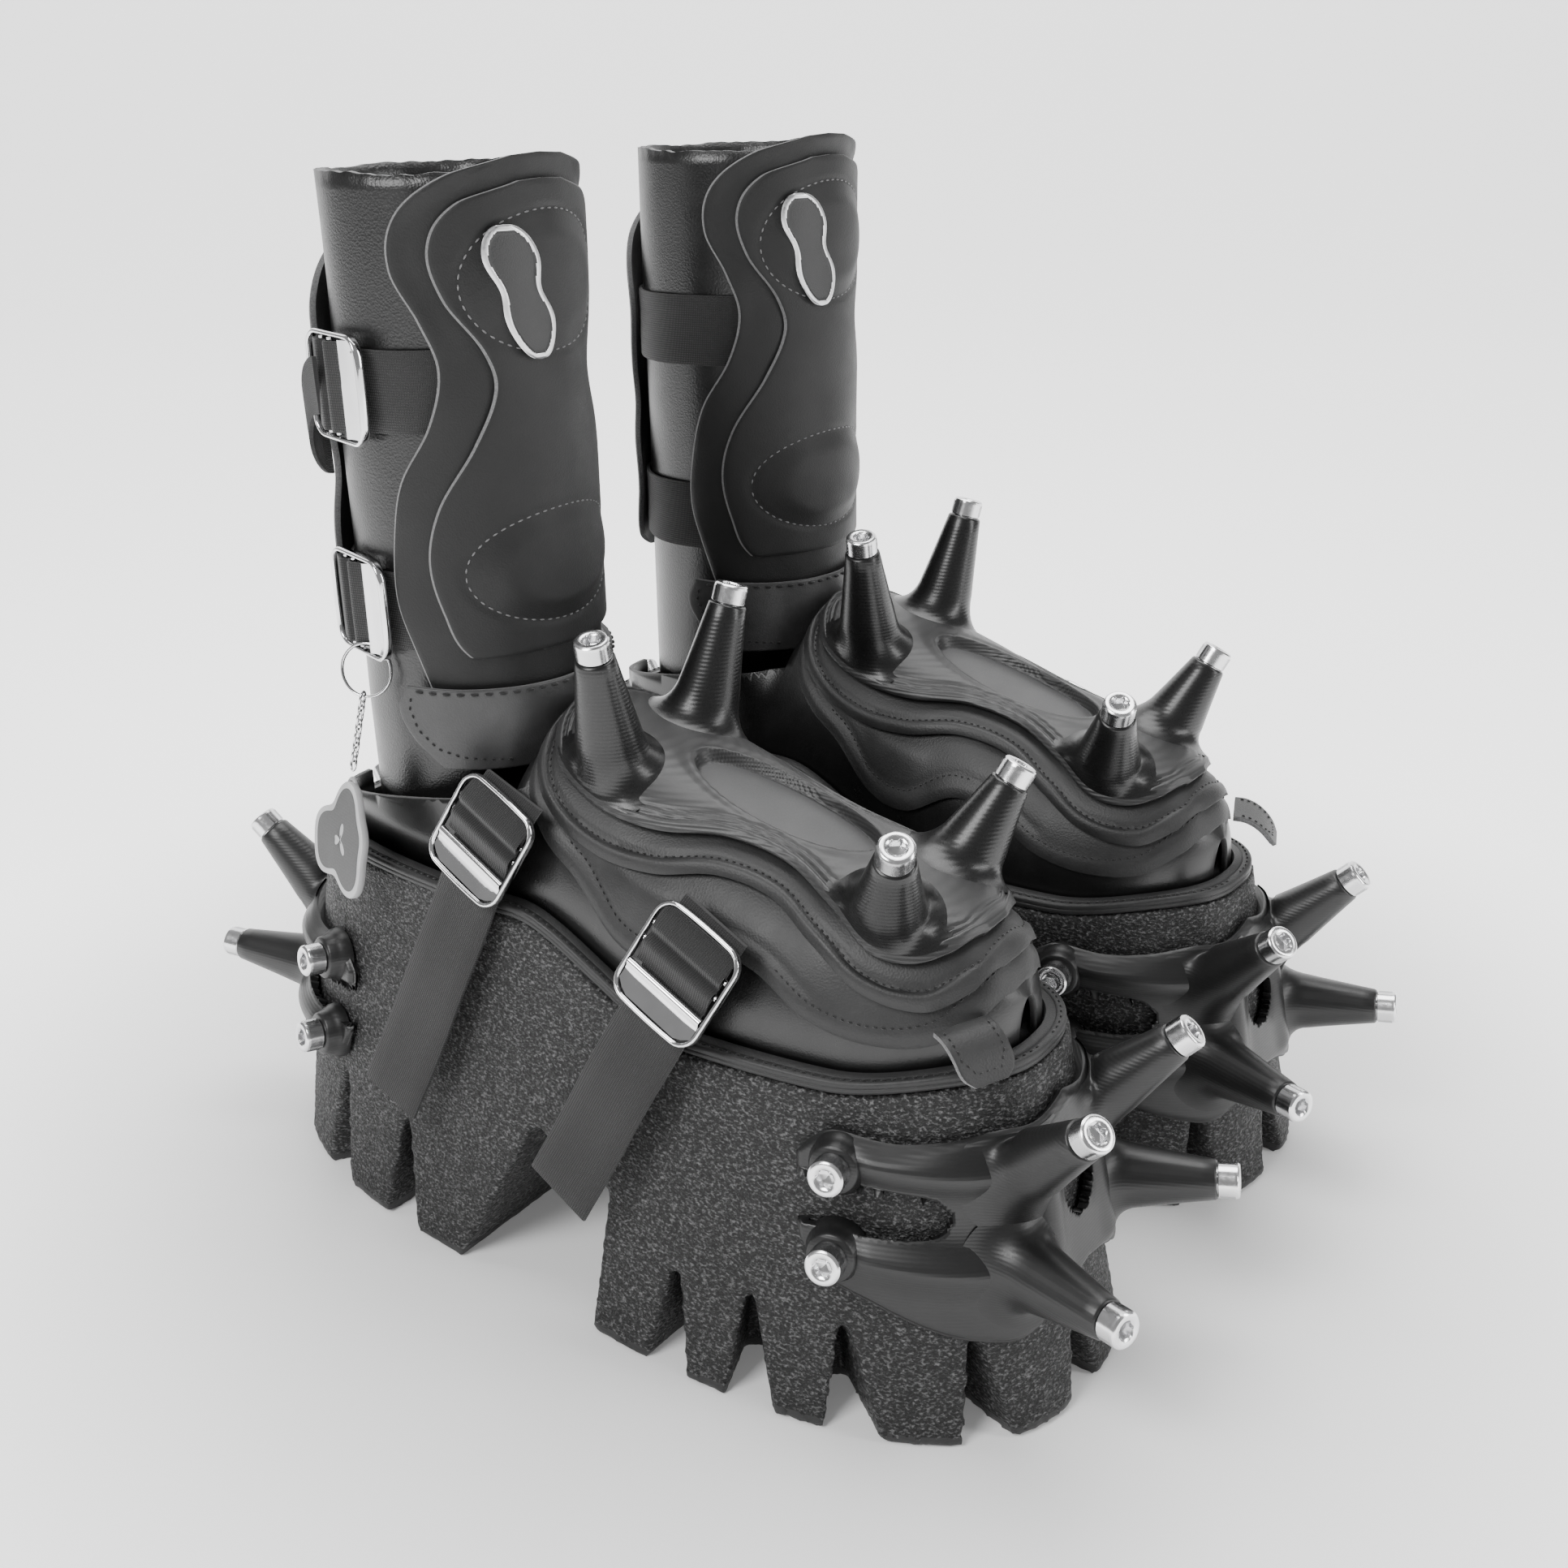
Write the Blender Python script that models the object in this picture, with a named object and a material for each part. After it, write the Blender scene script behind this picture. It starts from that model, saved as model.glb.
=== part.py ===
"""Pair of spiked platform boots: every piece a separate closed body.

Right boot is built about its own axis (toe to -Y, outer side to -X), then turned and
shifted into the pair; the left boot is its mirror image.  Metres, +Z up.
"""
import bpy
import bmesh
from math import sin, cos, pi, radians, sqrt, atan2
from mathutils import Vector, Matrix

# ---------------------------------------------------------------- driving dimensions (mm)
MM = 0.001
HEAD_DIA = 13.0            # M8 socket cap screw head, the known size everything is scaled from
HEAD_H = 8.0
HEX_AF = 6.0
BOOT_PITCH = 166.8         # between the two boots' centre lines
TOE_IN = 2.1               # each boot turns in this many degrees
SHIFT_Y = -7.61            # centres the pair's box on the origin
SOLE_FRONT, SOLE_BACK = -190.0, 196.0
SOLE_OUTER, SOLE_INNER = 89.0, 78.0
TOP_FRONT, TOP_BACK = -165.0, 167.0
TOP_OUTER = 62.5
DECK_LOW, DECK_HIGH = 119.0, 147.0
UPPER_FRONT, UPPER_BACK = -156.0, 158.0
UPPER_WIDTH_TOE, UPPER_WIDTH_HEEL = 54.0, 54.0
UPPER_WALL = 2.6
WELT = 8.0
LEG_Y = 101.0              # leg tube axis
TUBE_R, TUBE_WALL = 44.5, 2.6
TUBE_LOW, TUBE_TOP = 168.0, 412.0
STRAP_IN, STRAP_OUT = TUBE_R + 0.4, TUBE_R + 2.2
GUARD_IN, GUARD_OUT = TUBE_R + 3.3, TUBE_R + 6.1
GAP = 0.4
WEB = 30.0                 # webbing width
LEG_STRAP_Z = (337.0, 254.0)
LEG_BUCKLE_ANGLE = -104.0
ARCH = ((-23, -2), (49, -2), (15, 68), (-24, 56))
TOE_GAPS = (84, 62, 42, 22, 3, -16, -34, -54, -76)
HEEL_GAPS = (94, 62, 34, 10, -10, -34, -62, -94)
KEYRING_R, KEYRING_ROD = 10.5, 0.8
CHAIN_LEAN = 15.0          # the chain lies out over the welt, so it hangs this far off plumb

# ---------------------------------------------------------------- scene
for ob in list(bpy.data.objects):
    bpy.data.objects.remove(ob)
parts = bpy.data.collections.new("spiked_platform_boots")
cutters = bpy.data.collections.new("cutters")
bpy.context.scene.collection.children.link(parts)
bpy.context.scene.collection.children.link(cutters)


def material(name, colour, rough, metal=0.0):
    m = bpy.data.materials.new(name)
    m.use_nodes = True
    b = m.node_tree.nodes["Principled BSDF"]
    b.inputs["Base Color"].default_value = (*colour, 1)
    b.inputs["Roughness"].default_value = rough
    b.inputs["Metallic"].default_value = metal
    return m


MAT = {
    "print": material("printed_plastic", (0.035, 0.035, 0.037), 0.55),
    "plate": material("printed_plate", (0.03, 0.03, 0.032), 0.4),
    "leather": material("black_leather", (0.02, 0.02, 0.022), 0.38),
    "suede": material("matt_leather", (0.025, 0.025, 0.026), 0.6),
    "web": material("webbing", (0.02, 0.02, 0.02), 0.8),
    "chrome": material("chrome_steel", (0.75, 0.75, 0.76), 0.12, 1.0),
    "foam": material("footbed_fabric", (0.05, 0.05, 0.05), 0.85),
    "badge": material("badge_metal", (0.4, 0.4, 0.41), 0.3, 0.8),
}


# ---------------------------------------------------------------- helpers
def lerp(a, b, t):
    return a + (b - a) * t


def smooth(a, b, x):
    t = min(1.0, max(0.0, (x - a) / (b - a)))
    return t * t * (3 - 2 * t)


def curve(pairs, x):
    """Smooth monotone-ish curve through (x, value) pairs."""
    if x <= pairs[0][0]:
        return pairs[0][1]
    for i in range(len(pairs) - 1):
        x0, v0 = pairs[i]
        x1, v1 = pairs[i + 1]
        if x <= x1:
            m0 = (v1 - pairs[i - 1][1]) / (x1 - pairs[i - 1][0]) if i else (v1 - v0) / (x1 - x0)
            m1 = ((pairs[i + 2][1] - v0) / (pairs[i + 2][0] - x0)
                  if i + 2 < len(pairs) else (v1 - v0) / (x1 - x0))
            h = x1 - x0
            t = (x - x0) / h
            return ((2 * t**3 - 3 * t**2 + 1) * v0 + (t**3 - 2 * t**2 + t) * h * m0
                    + (-2 * t**3 + 3 * t**2) * v1 + (t**3 - t**2) * h * m1)
    return pairs[-1][1]


def new_object(name, verts, faces, mat=None, target=None):
    me = bpy.data.meshes.new(name)
    me.from_pydata([Vector(v) * MM for v in verts], [], faces)
    bm = bmesh.new()
    bm.from_mesh(me)
    bmesh.ops.recalc_face_normals(bm, faces=bm.faces)
    bm.to_mesh(me)
    bm.free()
    ob = bpy.data.objects.new(name, me)
    (target or parts).objects.link(ob)
    if mat:
        me.materials.append(MAT[mat])
    return ob


def as_cutter(ob):
    for c in list(ob.users_collection):
        c.objects.unlink(ob)
    cutters.objects.link(ob)
    ob.hide_render = True
    ob.display_type = 'WIRE'
    return ob


def boolean(ob, other, kind):
    m = ob.modifiers.new(kind.lower(), 'BOOLEAN')
    m.operation = kind
    m.object = other
    m.solver = 'EXACT'


def keep_largest(bm):
    """Drop slivers a Boolean may leave behind."""
    left, groups = set(bm.faces), []
    while left:
        seed = left.pop()
        group, front = {seed}, [seed]
        while front:
            for e in front.pop().edges:
                for f in (e.link_faces if len(e.link_faces) == 2 else ()):
                    if f in left:
                        left.discard(f)
                        group.add(f)
                        front.append(f)
        groups.append(group)
    groups.sort(key=len)
    for g in groups[:-1]:
        bmesh.ops.delete(bm, geom=list(g), context='FACES')


def bake(ob):
    """Apply the modifiers so the mirrored copy starts from the finished mesh."""
    dg = bpy.context.evaluated_depsgraph_get()
    dg.update()
    me = bpy.data.meshes.new_from_object(ob.evaluated_get(dg))
    ob.modifiers.clear()
    old = ob.data
    ob.data = me
    me.name = ob.name
    bpy.data.meshes.remove(old)
    bm = bmesh.new()
    bm.from_mesh(me)
    bmesh.ops.remove_doubles(bm, verts=bm.verts, dist=1e-6)
    keep_largest(bm)
    bmesh.ops.triangulate(bm, faces=bm.faces)
    bm.to_mesh(me)
    bm.free()


def rings(name, ring_list, mat=None, target=None):
    """Solid through closed rings of equal point count, flat ends."""
    n = len(ring_list[0])
    verts = [p for r in ring_list for p in r]
    faces = []
    for k in range(len(ring_list) - 1):
        for i in range(n):
            j = (i + 1) % n
            faces.append((k * n + i, k * n + j, (k + 1) * n + j, (k + 1) * n + i))
    faces.append(tuple(range(n))[::-1])
    faces.append(tuple((len(ring_list) - 1) * n + i for i in range(n)))
    return new_object(name, verts, faces, mat, target)


def tube_ring(name, outer, inner, mat):
    """Closed band between two stacks of rings: outer[k][i], inner[k][i]."""
    n, k = len(outer[0]), len(outer)
    stack = list(outer) + list(inner)[::-1]
    verts = [p for r in stack for p in r]
    faces = []
    for a in range(2 * k):
        b = (a + 1) % (2 * k)
        for i in range(n):
            j = (i + 1) % n
            faces.append((a * n + i, a * n + j, b * n + j, b * n + i))
    return new_object(name, verts, faces, mat)


def sheet(name, surface, rows, left, right, cols, lo, hi, mat, target=None):
    """Wrapped sheet: surface(s, t, off); each row t runs from left(t) to right(t)."""
    verts, faces = [], []
    m, n = len(rows), cols + 1
    for off in (lo, hi):
        for t in rows:
            a, b = left(t), right(t)
            for j in range(n):
                verts.append(surface(lerp(a, b, j / cols), t, off))
    def idx(layer, i, j):
        return layer * m * n + i * n + j
    for i in range(m - 1):
        for j in range(cols):
            for layer in (0, 1):
                faces.append((idx(layer, i, j), idx(layer, i, j + 1),
                              idx(layer, i + 1, j + 1), idx(layer, i + 1, j)))
    for i in range(m - 1):
        for j in (0, cols):
            faces.append((idx(0, i, j), idx(0, i + 1, j), idx(1, i + 1, j), idx(1, i, j)))
    for j in range(cols):
        for i in (0, m - 1):
            faces.append((idx(0, i, j), idx(0, i, j + 1), idx(1, i, j + 1), idx(1, i, j)))
    return new_object(name, verts, faces, mat, target)


def span(a, b, n):
    return [lerp(a, b, i / n) for i in range(n + 1)]


def frame_of(axis):
    z = Vector(axis).normalized()
    x = (Vector((0, 0, 1)) if abs(z.z) < 0.9 else Vector((0, 1, 0))).cross(z).normalized()
    return x, z.cross(x), z


def turned(name, base, axis, profile, sides, mat=None, target=None):
    """Turned solid: profile of (radius, height) along axis from base."""
    x, y, z = frame_of(axis)
    base = Vector(base)
    stack = []
    for r, h in profile:
        stack.append([base + z * h + x * (r * cos(2 * pi * i / sides))
                      + y * (r * sin(2 * pi * i / sides)) for i in range(sides)])
    return rings(name, stack, mat, target)


def box_solid(name, centre, axes, size, mat=None, target=None):
    c = Vector(centre)
    ax = [Vector(a) * (s / 2) for a, s in zip(axes, size)]
    low = [c - ax[2] + ax[0] * a + ax[1] * b for a, b in ((-1, -1), (1, -1), (1, 1), (-1, 1))]
    return rings(name, [low, [p + ax[2] * 2 for p in low]], mat, target)


# ---------------------------------------------------------------- platform and last shape
def deck(y):
    """Height of the platform's top under the foot."""
    return (DECK_LOW + (DECK_HIGH - DECK_LOW) * smooth(-45, 35, y)
            + 9 * smooth(-105, -160, y))


def wall(phi, t):
    """Platform wall: phi 0 at the toe, +90 outer side; t 0 floor, 1 deck."""
    f = (1 - t) ** 1.1
    y0, y1 = lerp(TOP_FRONT, SOLE_FRONT, f), lerp(TOP_BACK, SOLE_BACK, f)
    c, s = cos(phi), sin(phi)
    n = lerp(2.6, 2.75, f) if c > 0 else lerp(3.8, 2.9, f)
    mid, half = (y0 + y1) / 2, (y1 - y0) / 2
    y = mid - half * (1 if c > 0 else -1) * abs(c) ** (2 / n)
    w = lerp(TOP_OUTER, SOLE_OUTER if s > 0 else SOLE_INNER, f)
    w *= 1 - lerp(0.06, 0.02, f) * smooth(90, 15, abs(y - 25))
    x = -w * (1 if s > 0 else -1) * abs(s) ** (2 / n)
    return x, y


def wall_point(phi, z, off=0.0):
    def at(ph, zz):
        t = zz / 125.0
        x, y = wall(ph, t)
        x, y = wall(ph, min(1.0, max(0.0, zz / deck(y))))
        return Vector((x, y, zz))
    p = at(phi, z)
    if off:
        n = (at(phi + 0.02, z) - at(phi - 0.02, z)).cross(at(phi, z + 2) - at(phi, z - 2))
        n.normalize()
        if n.dot(Vector((p.x, p.y * 0.6, 0))) < 0:
            n.negate()
        p = p + n * off
    return p


def foot_width(y, grow=0.0):
    mid = (UPPER_FRONT + UPPER_BACK) / 2
    half = (UPPER_BACK - UPPER_FRONT) / 2 + grow
    n = 2.5 if y < mid else 4.0
    u = min(0.9999, abs((y - mid) / half))
    w = lerp(UPPER_WIDTH_TOE, UPPER_WIDTH_HEEL, smooth(-60, 60, y)) + grow
    w *= 1 - 0.06 * smooth(60, 15, abs(y - 5))
    return w * (1 - u ** n) ** (1 / n)


def foot_ring(grow, z_of, count=48):
    """Closed plan outline of the last grown by some millimetres."""
    pts = []
    y0, y1 = UPPER_FRONT - grow, UPPER_BACK + grow
    for i in range(count):
        a = 2 * pi * (i + 0.5) / count
        y = lerp(y0, y1, (1 - cos(a)) / 2)
        w = foot_width(y, grow)
        pts.append(Vector((w * (-1 if a < pi else 1), y, z_of(y))))
    return pts


CROWN = ((-156, 148), (-148, 160), (-132, 167), (-110, 173), (-80, 179), (-50, 186),
         (-20, 193), (10, 200), (40, 207), (70, 215), (100, 218), (160, 216))


def section_point(y, angle, off=0.0, base=None):
    """Arch section of the last at y; angle 0 at the outer welt, pi at the inner."""
    b = deck(y) + GAP if base is None else base
    w = max(1.0, foot_width(y) + off)
    h = curve(CROWN, y) - b + off
    n = lerp(2.3, 5.0, smooth(45, 80, y))
    c, s = cos(angle), max(0.0, sin(angle))
    return Vector((-w * (1 if c > 0 else -1) * abs(c) ** (2 / n), y, b + h * s ** (2 / n)))


def vamp(s, y, off=0.0):
    """Point on the vamp, s millimetres from the ridge (negative = outer side)."""
    pts = [section_point(y, pi * (0.5 + 0.5 * k / 40), off) for k in range(41)]
    run = 0.0
    want = abs(s)
    for a, b in zip(pts, pts[1:]):
        d = (b - a).length
        if run + d >= want:
            p = a.lerp(b, (want - run) / d if d else 0)
            break
        run += d
    else:
        d = (pts[-1] - pts[-3]).normalized()
        p = pts[-1] + d * (want - run)
    return Vector((p.x if s > 0 else -p.x, y, p.z))


def leg(theta, z, r):
    a = radians(theta)
    return Vector((r * sin(a), LEG_Y - r * cos(a), z))


made = []


def keep(ob):
    made.append(ob)
    return ob


# ---------------------------------------------------------------- platform
COUNT = 40


def wall_stack(grow=0.0, lift=0.0):
    stack = []
    for t in (0.0, 0.02, 0.5, 0.985, 1.0):
        ring = []
        for i in range(COUNT):
            a = 2 * pi * i / COUNT
            x, y = wall(a, t)
            k = 0.985 if t in (0.0, 1.0) else 1.0
            p = Vector((x * k, y * k, t * deck(y)))
            if grow:
                x0, y0 = wall(a - 0.03, t)
                x1, y1 = wall(a + 0.03, t)
                out = Vector((y1 - y0, x0 - x1, 0)).normalized()
                if out.dot(Vector((x, y, 0))) < 0:
                    out.negate()
                p += out * grow
                p.z += lift if t > 0.6 else (-lift if t == 0 else 0)
            ring.append(p)
        stack.append(ring)
    return stack


def wall_solid(name, stack, mat=None, target=None):
    """Loft with its top closed in strips of equal y, so the deck stays true."""
    n, k = COUNT, len(stack)
    verts = [p for r in stack for p in r]
    faces = []
    for a in range(k - 1):
        for i in range(n):
            j = (i + 1) % n
            faces.append((a * n + i, a * n + j, (a + 1) * n + j, (a + 1) * n + i))
    faces.append(tuple(range(n))[::-1])
    top = (k - 1) * n
    for i in range(n // 2):
        a, b, c, d = i, i + 1, (n - i - 1) % n, (n - i) % n
        quad = [top + q for q in (a, b, c, d)]
        faces.append(tuple(dict.fromkeys(quad)))
    return new_object(name, verts, faces, mat, target)


def deck_cutter(name):
    """Everything under the deck plus the working gap, in the deck's own strips."""
    top = wall_stack()[-1]
    rows = [(top[i].y, top[i].z + GAP) for i in range(COUNT // 2 + 1)]
    rows = [(rows[0][0] - 30, rows[0][1])] + rows + [(rows[-1][0] + 30, rows[-1][1])]
    stack = [[Vector((-110, y, z)), Vector((110, y, z)), Vector((110, y, z - 70)), Vector((-110, y, z - 70))]
             for y, z in rows]
    return as_cutter(rings(name, stack))


def make_platform():
    ob = wall_solid("platform", wall_stack(), "print")
    arch = [[Vector((x, y, z)) for y, z in ARCH] for x in (-120, 120)]
    boolean(ob, as_cutter(rings("arch_cutter", arch)), 'DIFFERENCE')
    for tag, centre, angles, way, top in (("toe", -50, TOE_GAPS, -1, 43), ("heel", 90, HEEL_GAPS, 1, 52)):
        for k, deg in enumerate(angles):
            d = Vector((-sin(radians(deg)), way * cos(radians(deg)), 0))
            side = Vector((-d.y, d.x, 0))
            x, y = 0, 0
            reach = 0.0
            while reach < 200:
                reach += 1.0
                q = Vector((0, centre, 0)) + d * reach
                w = SOLE_OUTER if q.x < 0 else SOLE_INNER
                if abs(q.x / w) ** 2.75 + abs((q.y - 3) / 193.0) ** 2.75 > 1:
                    break
            inner = Vector((0, centre, 0)) + d * (reach - 30)
            outer = Vector((0, centre, 0)) + d * (reach + 14)
            stack = []
            for q, half, high in ((inner, 5.5, top * 0.72), (outer, 11.5, top * 1.04)):
                stack.append([q + side * half + Vector((0, 0, -3)), q - side * half + Vector((0, 0, -3)),
                              q - side * 0.3 + Vector((0, 0, high)), q + side * 0.3 + Vector((0, 0, high))])
            boolean(ob, as_cutter(rings("%s_gap_cutter_%d" % (tag, k), stack)), 'DIFFERENCE')
    return keep(ob)


# ---------------------------------------------------------------- shoe
def last_solid(name, off, drop, y0, y1, mat=None, target=None):
    stack = []
    for k in range(16):
        y = lerp(y0, y1, (1 - cos(pi * k / 15)) / 2)
        ring = [section_point(y, pi * i / 12, off) for i in range(13)]
        ring[0].z -= 4 + drop
        ring[-1].z -= 4 + drop
        stack.append(ring)
    return rings(name, stack, mat, target)


def make_upper():
    ob = last_solid("upper", 0.0, 0.0, UPPER_FRONT + 0.6, UPPER_BACK - 0.6, "leather")
    inner = last_solid("upper_hollow_cutter", -UPPER_WALL, 6.0, UPPER_FRONT + 3.4, UPPER_BACK - 3.2,
                  None, cutters)
    boolean(ob, as_cutter(inner), 'DIFFERENCE')
    low = [Vector((x, y, lerp(190, 163, (y - 44) / 116))) for x, y in
           ((-80, 44), (80, 44), (80, 170), (-80, 170))]
    boolean(ob, deck_cutter("upper_deck_cutter"), 'DIFFERENCE')
    cut = rings("collar_cutter", [low, [Vector((p.x, p.y, 300)) for p in low]])
    boolean(ob, as_cutter(cut), 'DIFFERENCE')
    return keep(ob)


def make_footbed():
    low = foot_ring(-UPPER_WALL - 2.4, lambda y: deck(y) - 4, 36)
    high = [p + Vector((0, 0, 8.4)) for p in low]
    n = len(low)
    faces = [(i, (i + 1) % n, n + (i + 1) % n, n + i) for i in range(n)]
    for i in range(n // 2):
        quad = [n + q for q in (i, (i + 1) % n, n - 2 - i, n - 1 - i)]
        faces.append(tuple(dict.fromkeys(quad)))
        faces.append(tuple(dict.fromkeys(q - n for q in quad)))
    ob = new_object("footbed", low + high, [f for f in faces if len(f) > 2], "foam")
    boolean(ob, deck_cutter("footbed_deck_cutter"), 'DIFFERENCE')
    return keep(ob)


def make_welt():
    def stack(grow):
        return [foot_ring(grow, lambda y, h=h: deck(y) + h, 36) for h in (-4, 5.2)]
    ob = tube_ring("welt_band", stack(WELT), stack(1.4), "leather")
    boolean(ob, deck_cutter("welt_deck_cutter"), 'DIFFERENCE')
    return keep(ob)


def limits(pairs, sign=1.0, extra=0.0):
    return lambda y: sign * (curve(pairs, y) + extra)


PLATE_EDGE = ((-142, 9), (-138, 22), (-128, 35), (-113, 40), (-95, 33), (-72, 26), (-48, 29),
              (-24, 40), (2, 44), (24, 38), (36, 24), (41, 9))
OVER_EDGE = ((-150, 10), (-146, 26), (-134, 43), (-113, 50), (-92, 44), (-72, 37), (-50, 40),
             (-26, 51), (0, 56), (24, 50), (38, 34), (43, 12))
APRON_OUT = ((-153, 10), (-149, 27), (-138, 48), (-118, 62), (-96, 66), (-74, 60), (-56, 62),
             (-34, 78), (-14, 79), (6, 66), (24, 58), (38, 42), (43, 18))


def vamp_rows(pairs, n):
    y0, y1 = pairs[0][0], pairs[-1][0]
    return [lerp(y0, y1, (1 - cos(pi * i / n)) / 2) for i in range(n + 1)]


def make_vamp_layers():
    surf = lambda s, y, off: vamp(s, y, off)
    keep(sheet("apron", surf, vamp_rows(APRON_OUT, 14), limits(APRON_OUT, -1), limits(APRON_OUT),
               10, 1.3, 3.1, "leather"))
    keep(sheet("apron_overlay", surf, vamp_rows(OVER_EDGE, 13), limits(OVER_EDGE, -1),
               limits(OVER_EDGE), 8, 4.6, 6.4, "leather"))


def cone_on(ob, name, base, head_face, r0, r1, sink=6.0, sides=10):
    """Long hollow-looking spike from the plate to just under the screw head."""
    base, face = Vector(base), Vector(head_face)
    axis = (face - base).normalized()
    length = (face - base).length - HEAD_H
    prof = [(r0, -sink), (lerp(r0, r1, 0.22) * 0.96, length * 0.2), (r1, length)]
    boolean(ob, as_cutter(turned(name, base, axis, prof, sides)), 'UNION')
    return base + axis * length, axis


def screw(name, seat, axis, gap, mat="chrome", sides=16):
    """Socket cap head on its seat with a hexagon recess."""
    r = HEAD_DIA / 2
    start = Vector(seat) + Vector(axis).normalized() * gap
    prof = [(r, 0), (r, HEAD_H - 1.0), (r - 0.9, HEAD_H - gap)]
    ob = turned(name, start, axis, prof, sides, mat)
    if not mat:
        return ob
    hexa = turned(name + "_hex_cutter", start + Vector(axis).normalized() * 4.0, axis,
                  [(HEX_AF / sqrt(3), 0), (HEX_AF / sqrt(3), 9)], 6)
    boolean(ob, as_cutter(hexa), 'DIFFERENCE')
    return ob


INSTEP_HEADS = {"rear_outer": (-40.6, 0.0, 258.7), "rear_inner": (40.6, 0.0, 258.7),
                "front_outer": (-41.5, -127.4, 213.1), "front_inner": (41.5, -127.4, 213.1)}


def make_instep():
    surf = lambda s, y, off: vamp(s, y, off)
    ob = sheet("instep_plate", surf, vamp_rows(PLATE_EDGE, 15), limits(PLATE_EDGE, -1),
               limits(PLATE_EDGE), 6, 7.7, 11.4, "plate")
    window = []
    for z in (150, 240):
        window.append([Vector((17 * cos(a) if abs(cos(a)) > 0 else 0, -54 + 39 * sin(a), z))
                       for a in (2 * pi * i / 20 for i in range(20))])
    boolean(ob, as_cutter(rings("window_cutter", window)), 'DIFFERENCE')
    screws = []
    for tag, face in INSTEP_HEADS.items():
        rear = tag.startswith("rear")
        sign = -1 if "outer" in tag else 1
        foot = vamp(sign * (26 if rear else 25), 6 if rear else -113, 8.0)
        seat, axis = cone_on(ob, "instep_cone_" + tag, foot, face, 15.5, 7.4, 2.4)
        screws.append(screw("instep_screw_" + tag, seat, axis, 0.35))
    under = last_solid("instep_under_cutter", 7.4, 0.0, UPPER_FRONT + 0.6, 60)
    boolean(ob, as_cutter(under), 'DIFFERENCE')
    keep(ob)
    for s in screws:
        keep(s)


# ---------------------------------------------------------------- toe and heel plates
def phi_table(way):
    """Map arc length from the toe or heel centre to phi at mid height."""
    table, run = [(0.0, 0.0)], 0.0
    last = wall_point(0.0 if way < 0 else pi, 82)
    for i in range(1, 121):
        d = pi * 0.5 * i / 120
        p = wall_point(d if way < 0 else pi - d, 82)
        run += (p - last).length
        table.append((run, d))
        last = p
    return table


def make_end_plate(name, way, heads, side_heads):
    table = phi_table(way)

    def phi(a):
        s = abs(a)
        for (r0, d0), (r1, d1) in zip(table, table[1:]):
            if s <= r1:
                d = lerp(d0, d1, (s - r0) / (r1 - r0))
                break
        d = d if a < 0 else -d
        return d if way < 0 else pi - d

    surf = lambda z, a, off: wall_point(phi(a), z, off)
    reach = 104.0
    top = ((0, 116), (18, 112), (34, 113), (52, 110), (70, 108), (90, 109), (98, 105), (reach, 99))
    low = ((0, 50), (12, 47), (30, 38), (46, 40), (60, 44), (78, 51), (92, 56), (99, 62), (reach, 72))
    half = 7 if way < 0 else 9
    rows = [reach * (i / half) for i in range(-half, half + 1)]
    ob = sheet(name, surf, rows, lambda a: curve(low, abs(a)), lambda a: curve(top, abs(a)),
               3, 1.0, 5.1, "plate")
    n0 = wall_point(phi(0), 82, 30) - wall_point(phi(0), 82, -30)
    hole = []
    for k in (-30, 60):
        c = wall_point(phi(0), 82, 0) + n0.normalized() * k
        hole.append([c + Vector((10 * cos(a), 0, 13 * sin(a))) for a in (2 * pi * i / 16 for i in range(16))])
    boolean(ob, as_cutter(rings(name + "_hole_cutter", hole)), 'DIFFERENCE')
    for sign, tag in ((-1, "outer"), (1, "inner")):
        stack = []
        for k, a in enumerate((50, 56, 70, 90, 118)):
            half = (3.0, 7.0, 8.5, 9.0, 10.0)[k]
            ring = []
            for off, z in ((-6, -1), (14, -1), (14, 1), (-6, 1)):
                ring.append(wall_point(phi(sign * min(a, 112)), 84 + z * half, off)
                            + Vector((0, 0 if a < 118 else -way * 14, 0)))
            stack.append(ring)
        boolean(ob, as_cutter(rings("%s_notch_cutter_%s" % (name, tag), stack)), 'DIFFERENCE')
    for sign, tag in ((-1, "outer"), (1, "inner")):
        for level, (x, y, z) in heads.items():
            face = Vector((sign * x, y, z))
            foot = wall_point(phi(sign * (27 if level == "up" else 30)), 97 if level == "up" else 64, 3.0)
            cut, axis = cone_on(ob, "%s_cone_%s_%s" % (name, level, tag), foot, face, 14.0, 7.2, 2.2, 8)
            head = as_cutter(screw("%s_head_%s_%s" % (name, level, tag), cut, axis, -0.6, None, 8))
            boolean(ob, head, 'UNION')
        for level, (x, y, z) in side_heads.items():
            face = Vector((sign * x, y, z))
            a_pos = 88 if level == "up" else 90
            foot = wall_point(phi(sign * a_pos), z - 3, 2.5)
            n = (wall_point(phi(sign * a_pos), z - 3, 12) - foot).normalized()
            boss = turned("%s_boss_%s_%s" % (name, level, tag), foot, n,
                          [(10.3, -1.6), (8.6, 7.6)], 8)
            boolean(ob, as_cutter(boss), 'UNION')
            head = as_cutter(screw("%s_side_head_%s_%s" % (name, level, tag), foot + n * 7.6, n, -0.6, None, 8))
            boolean(ob, head, 'UNION')
    block = wall_solid(name + "_wall_cutter", wall_stack(0.62, 3.0))
    boolean(ob, as_cutter(block), 'DIFFERENCE')
    return keep(ob)


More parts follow.
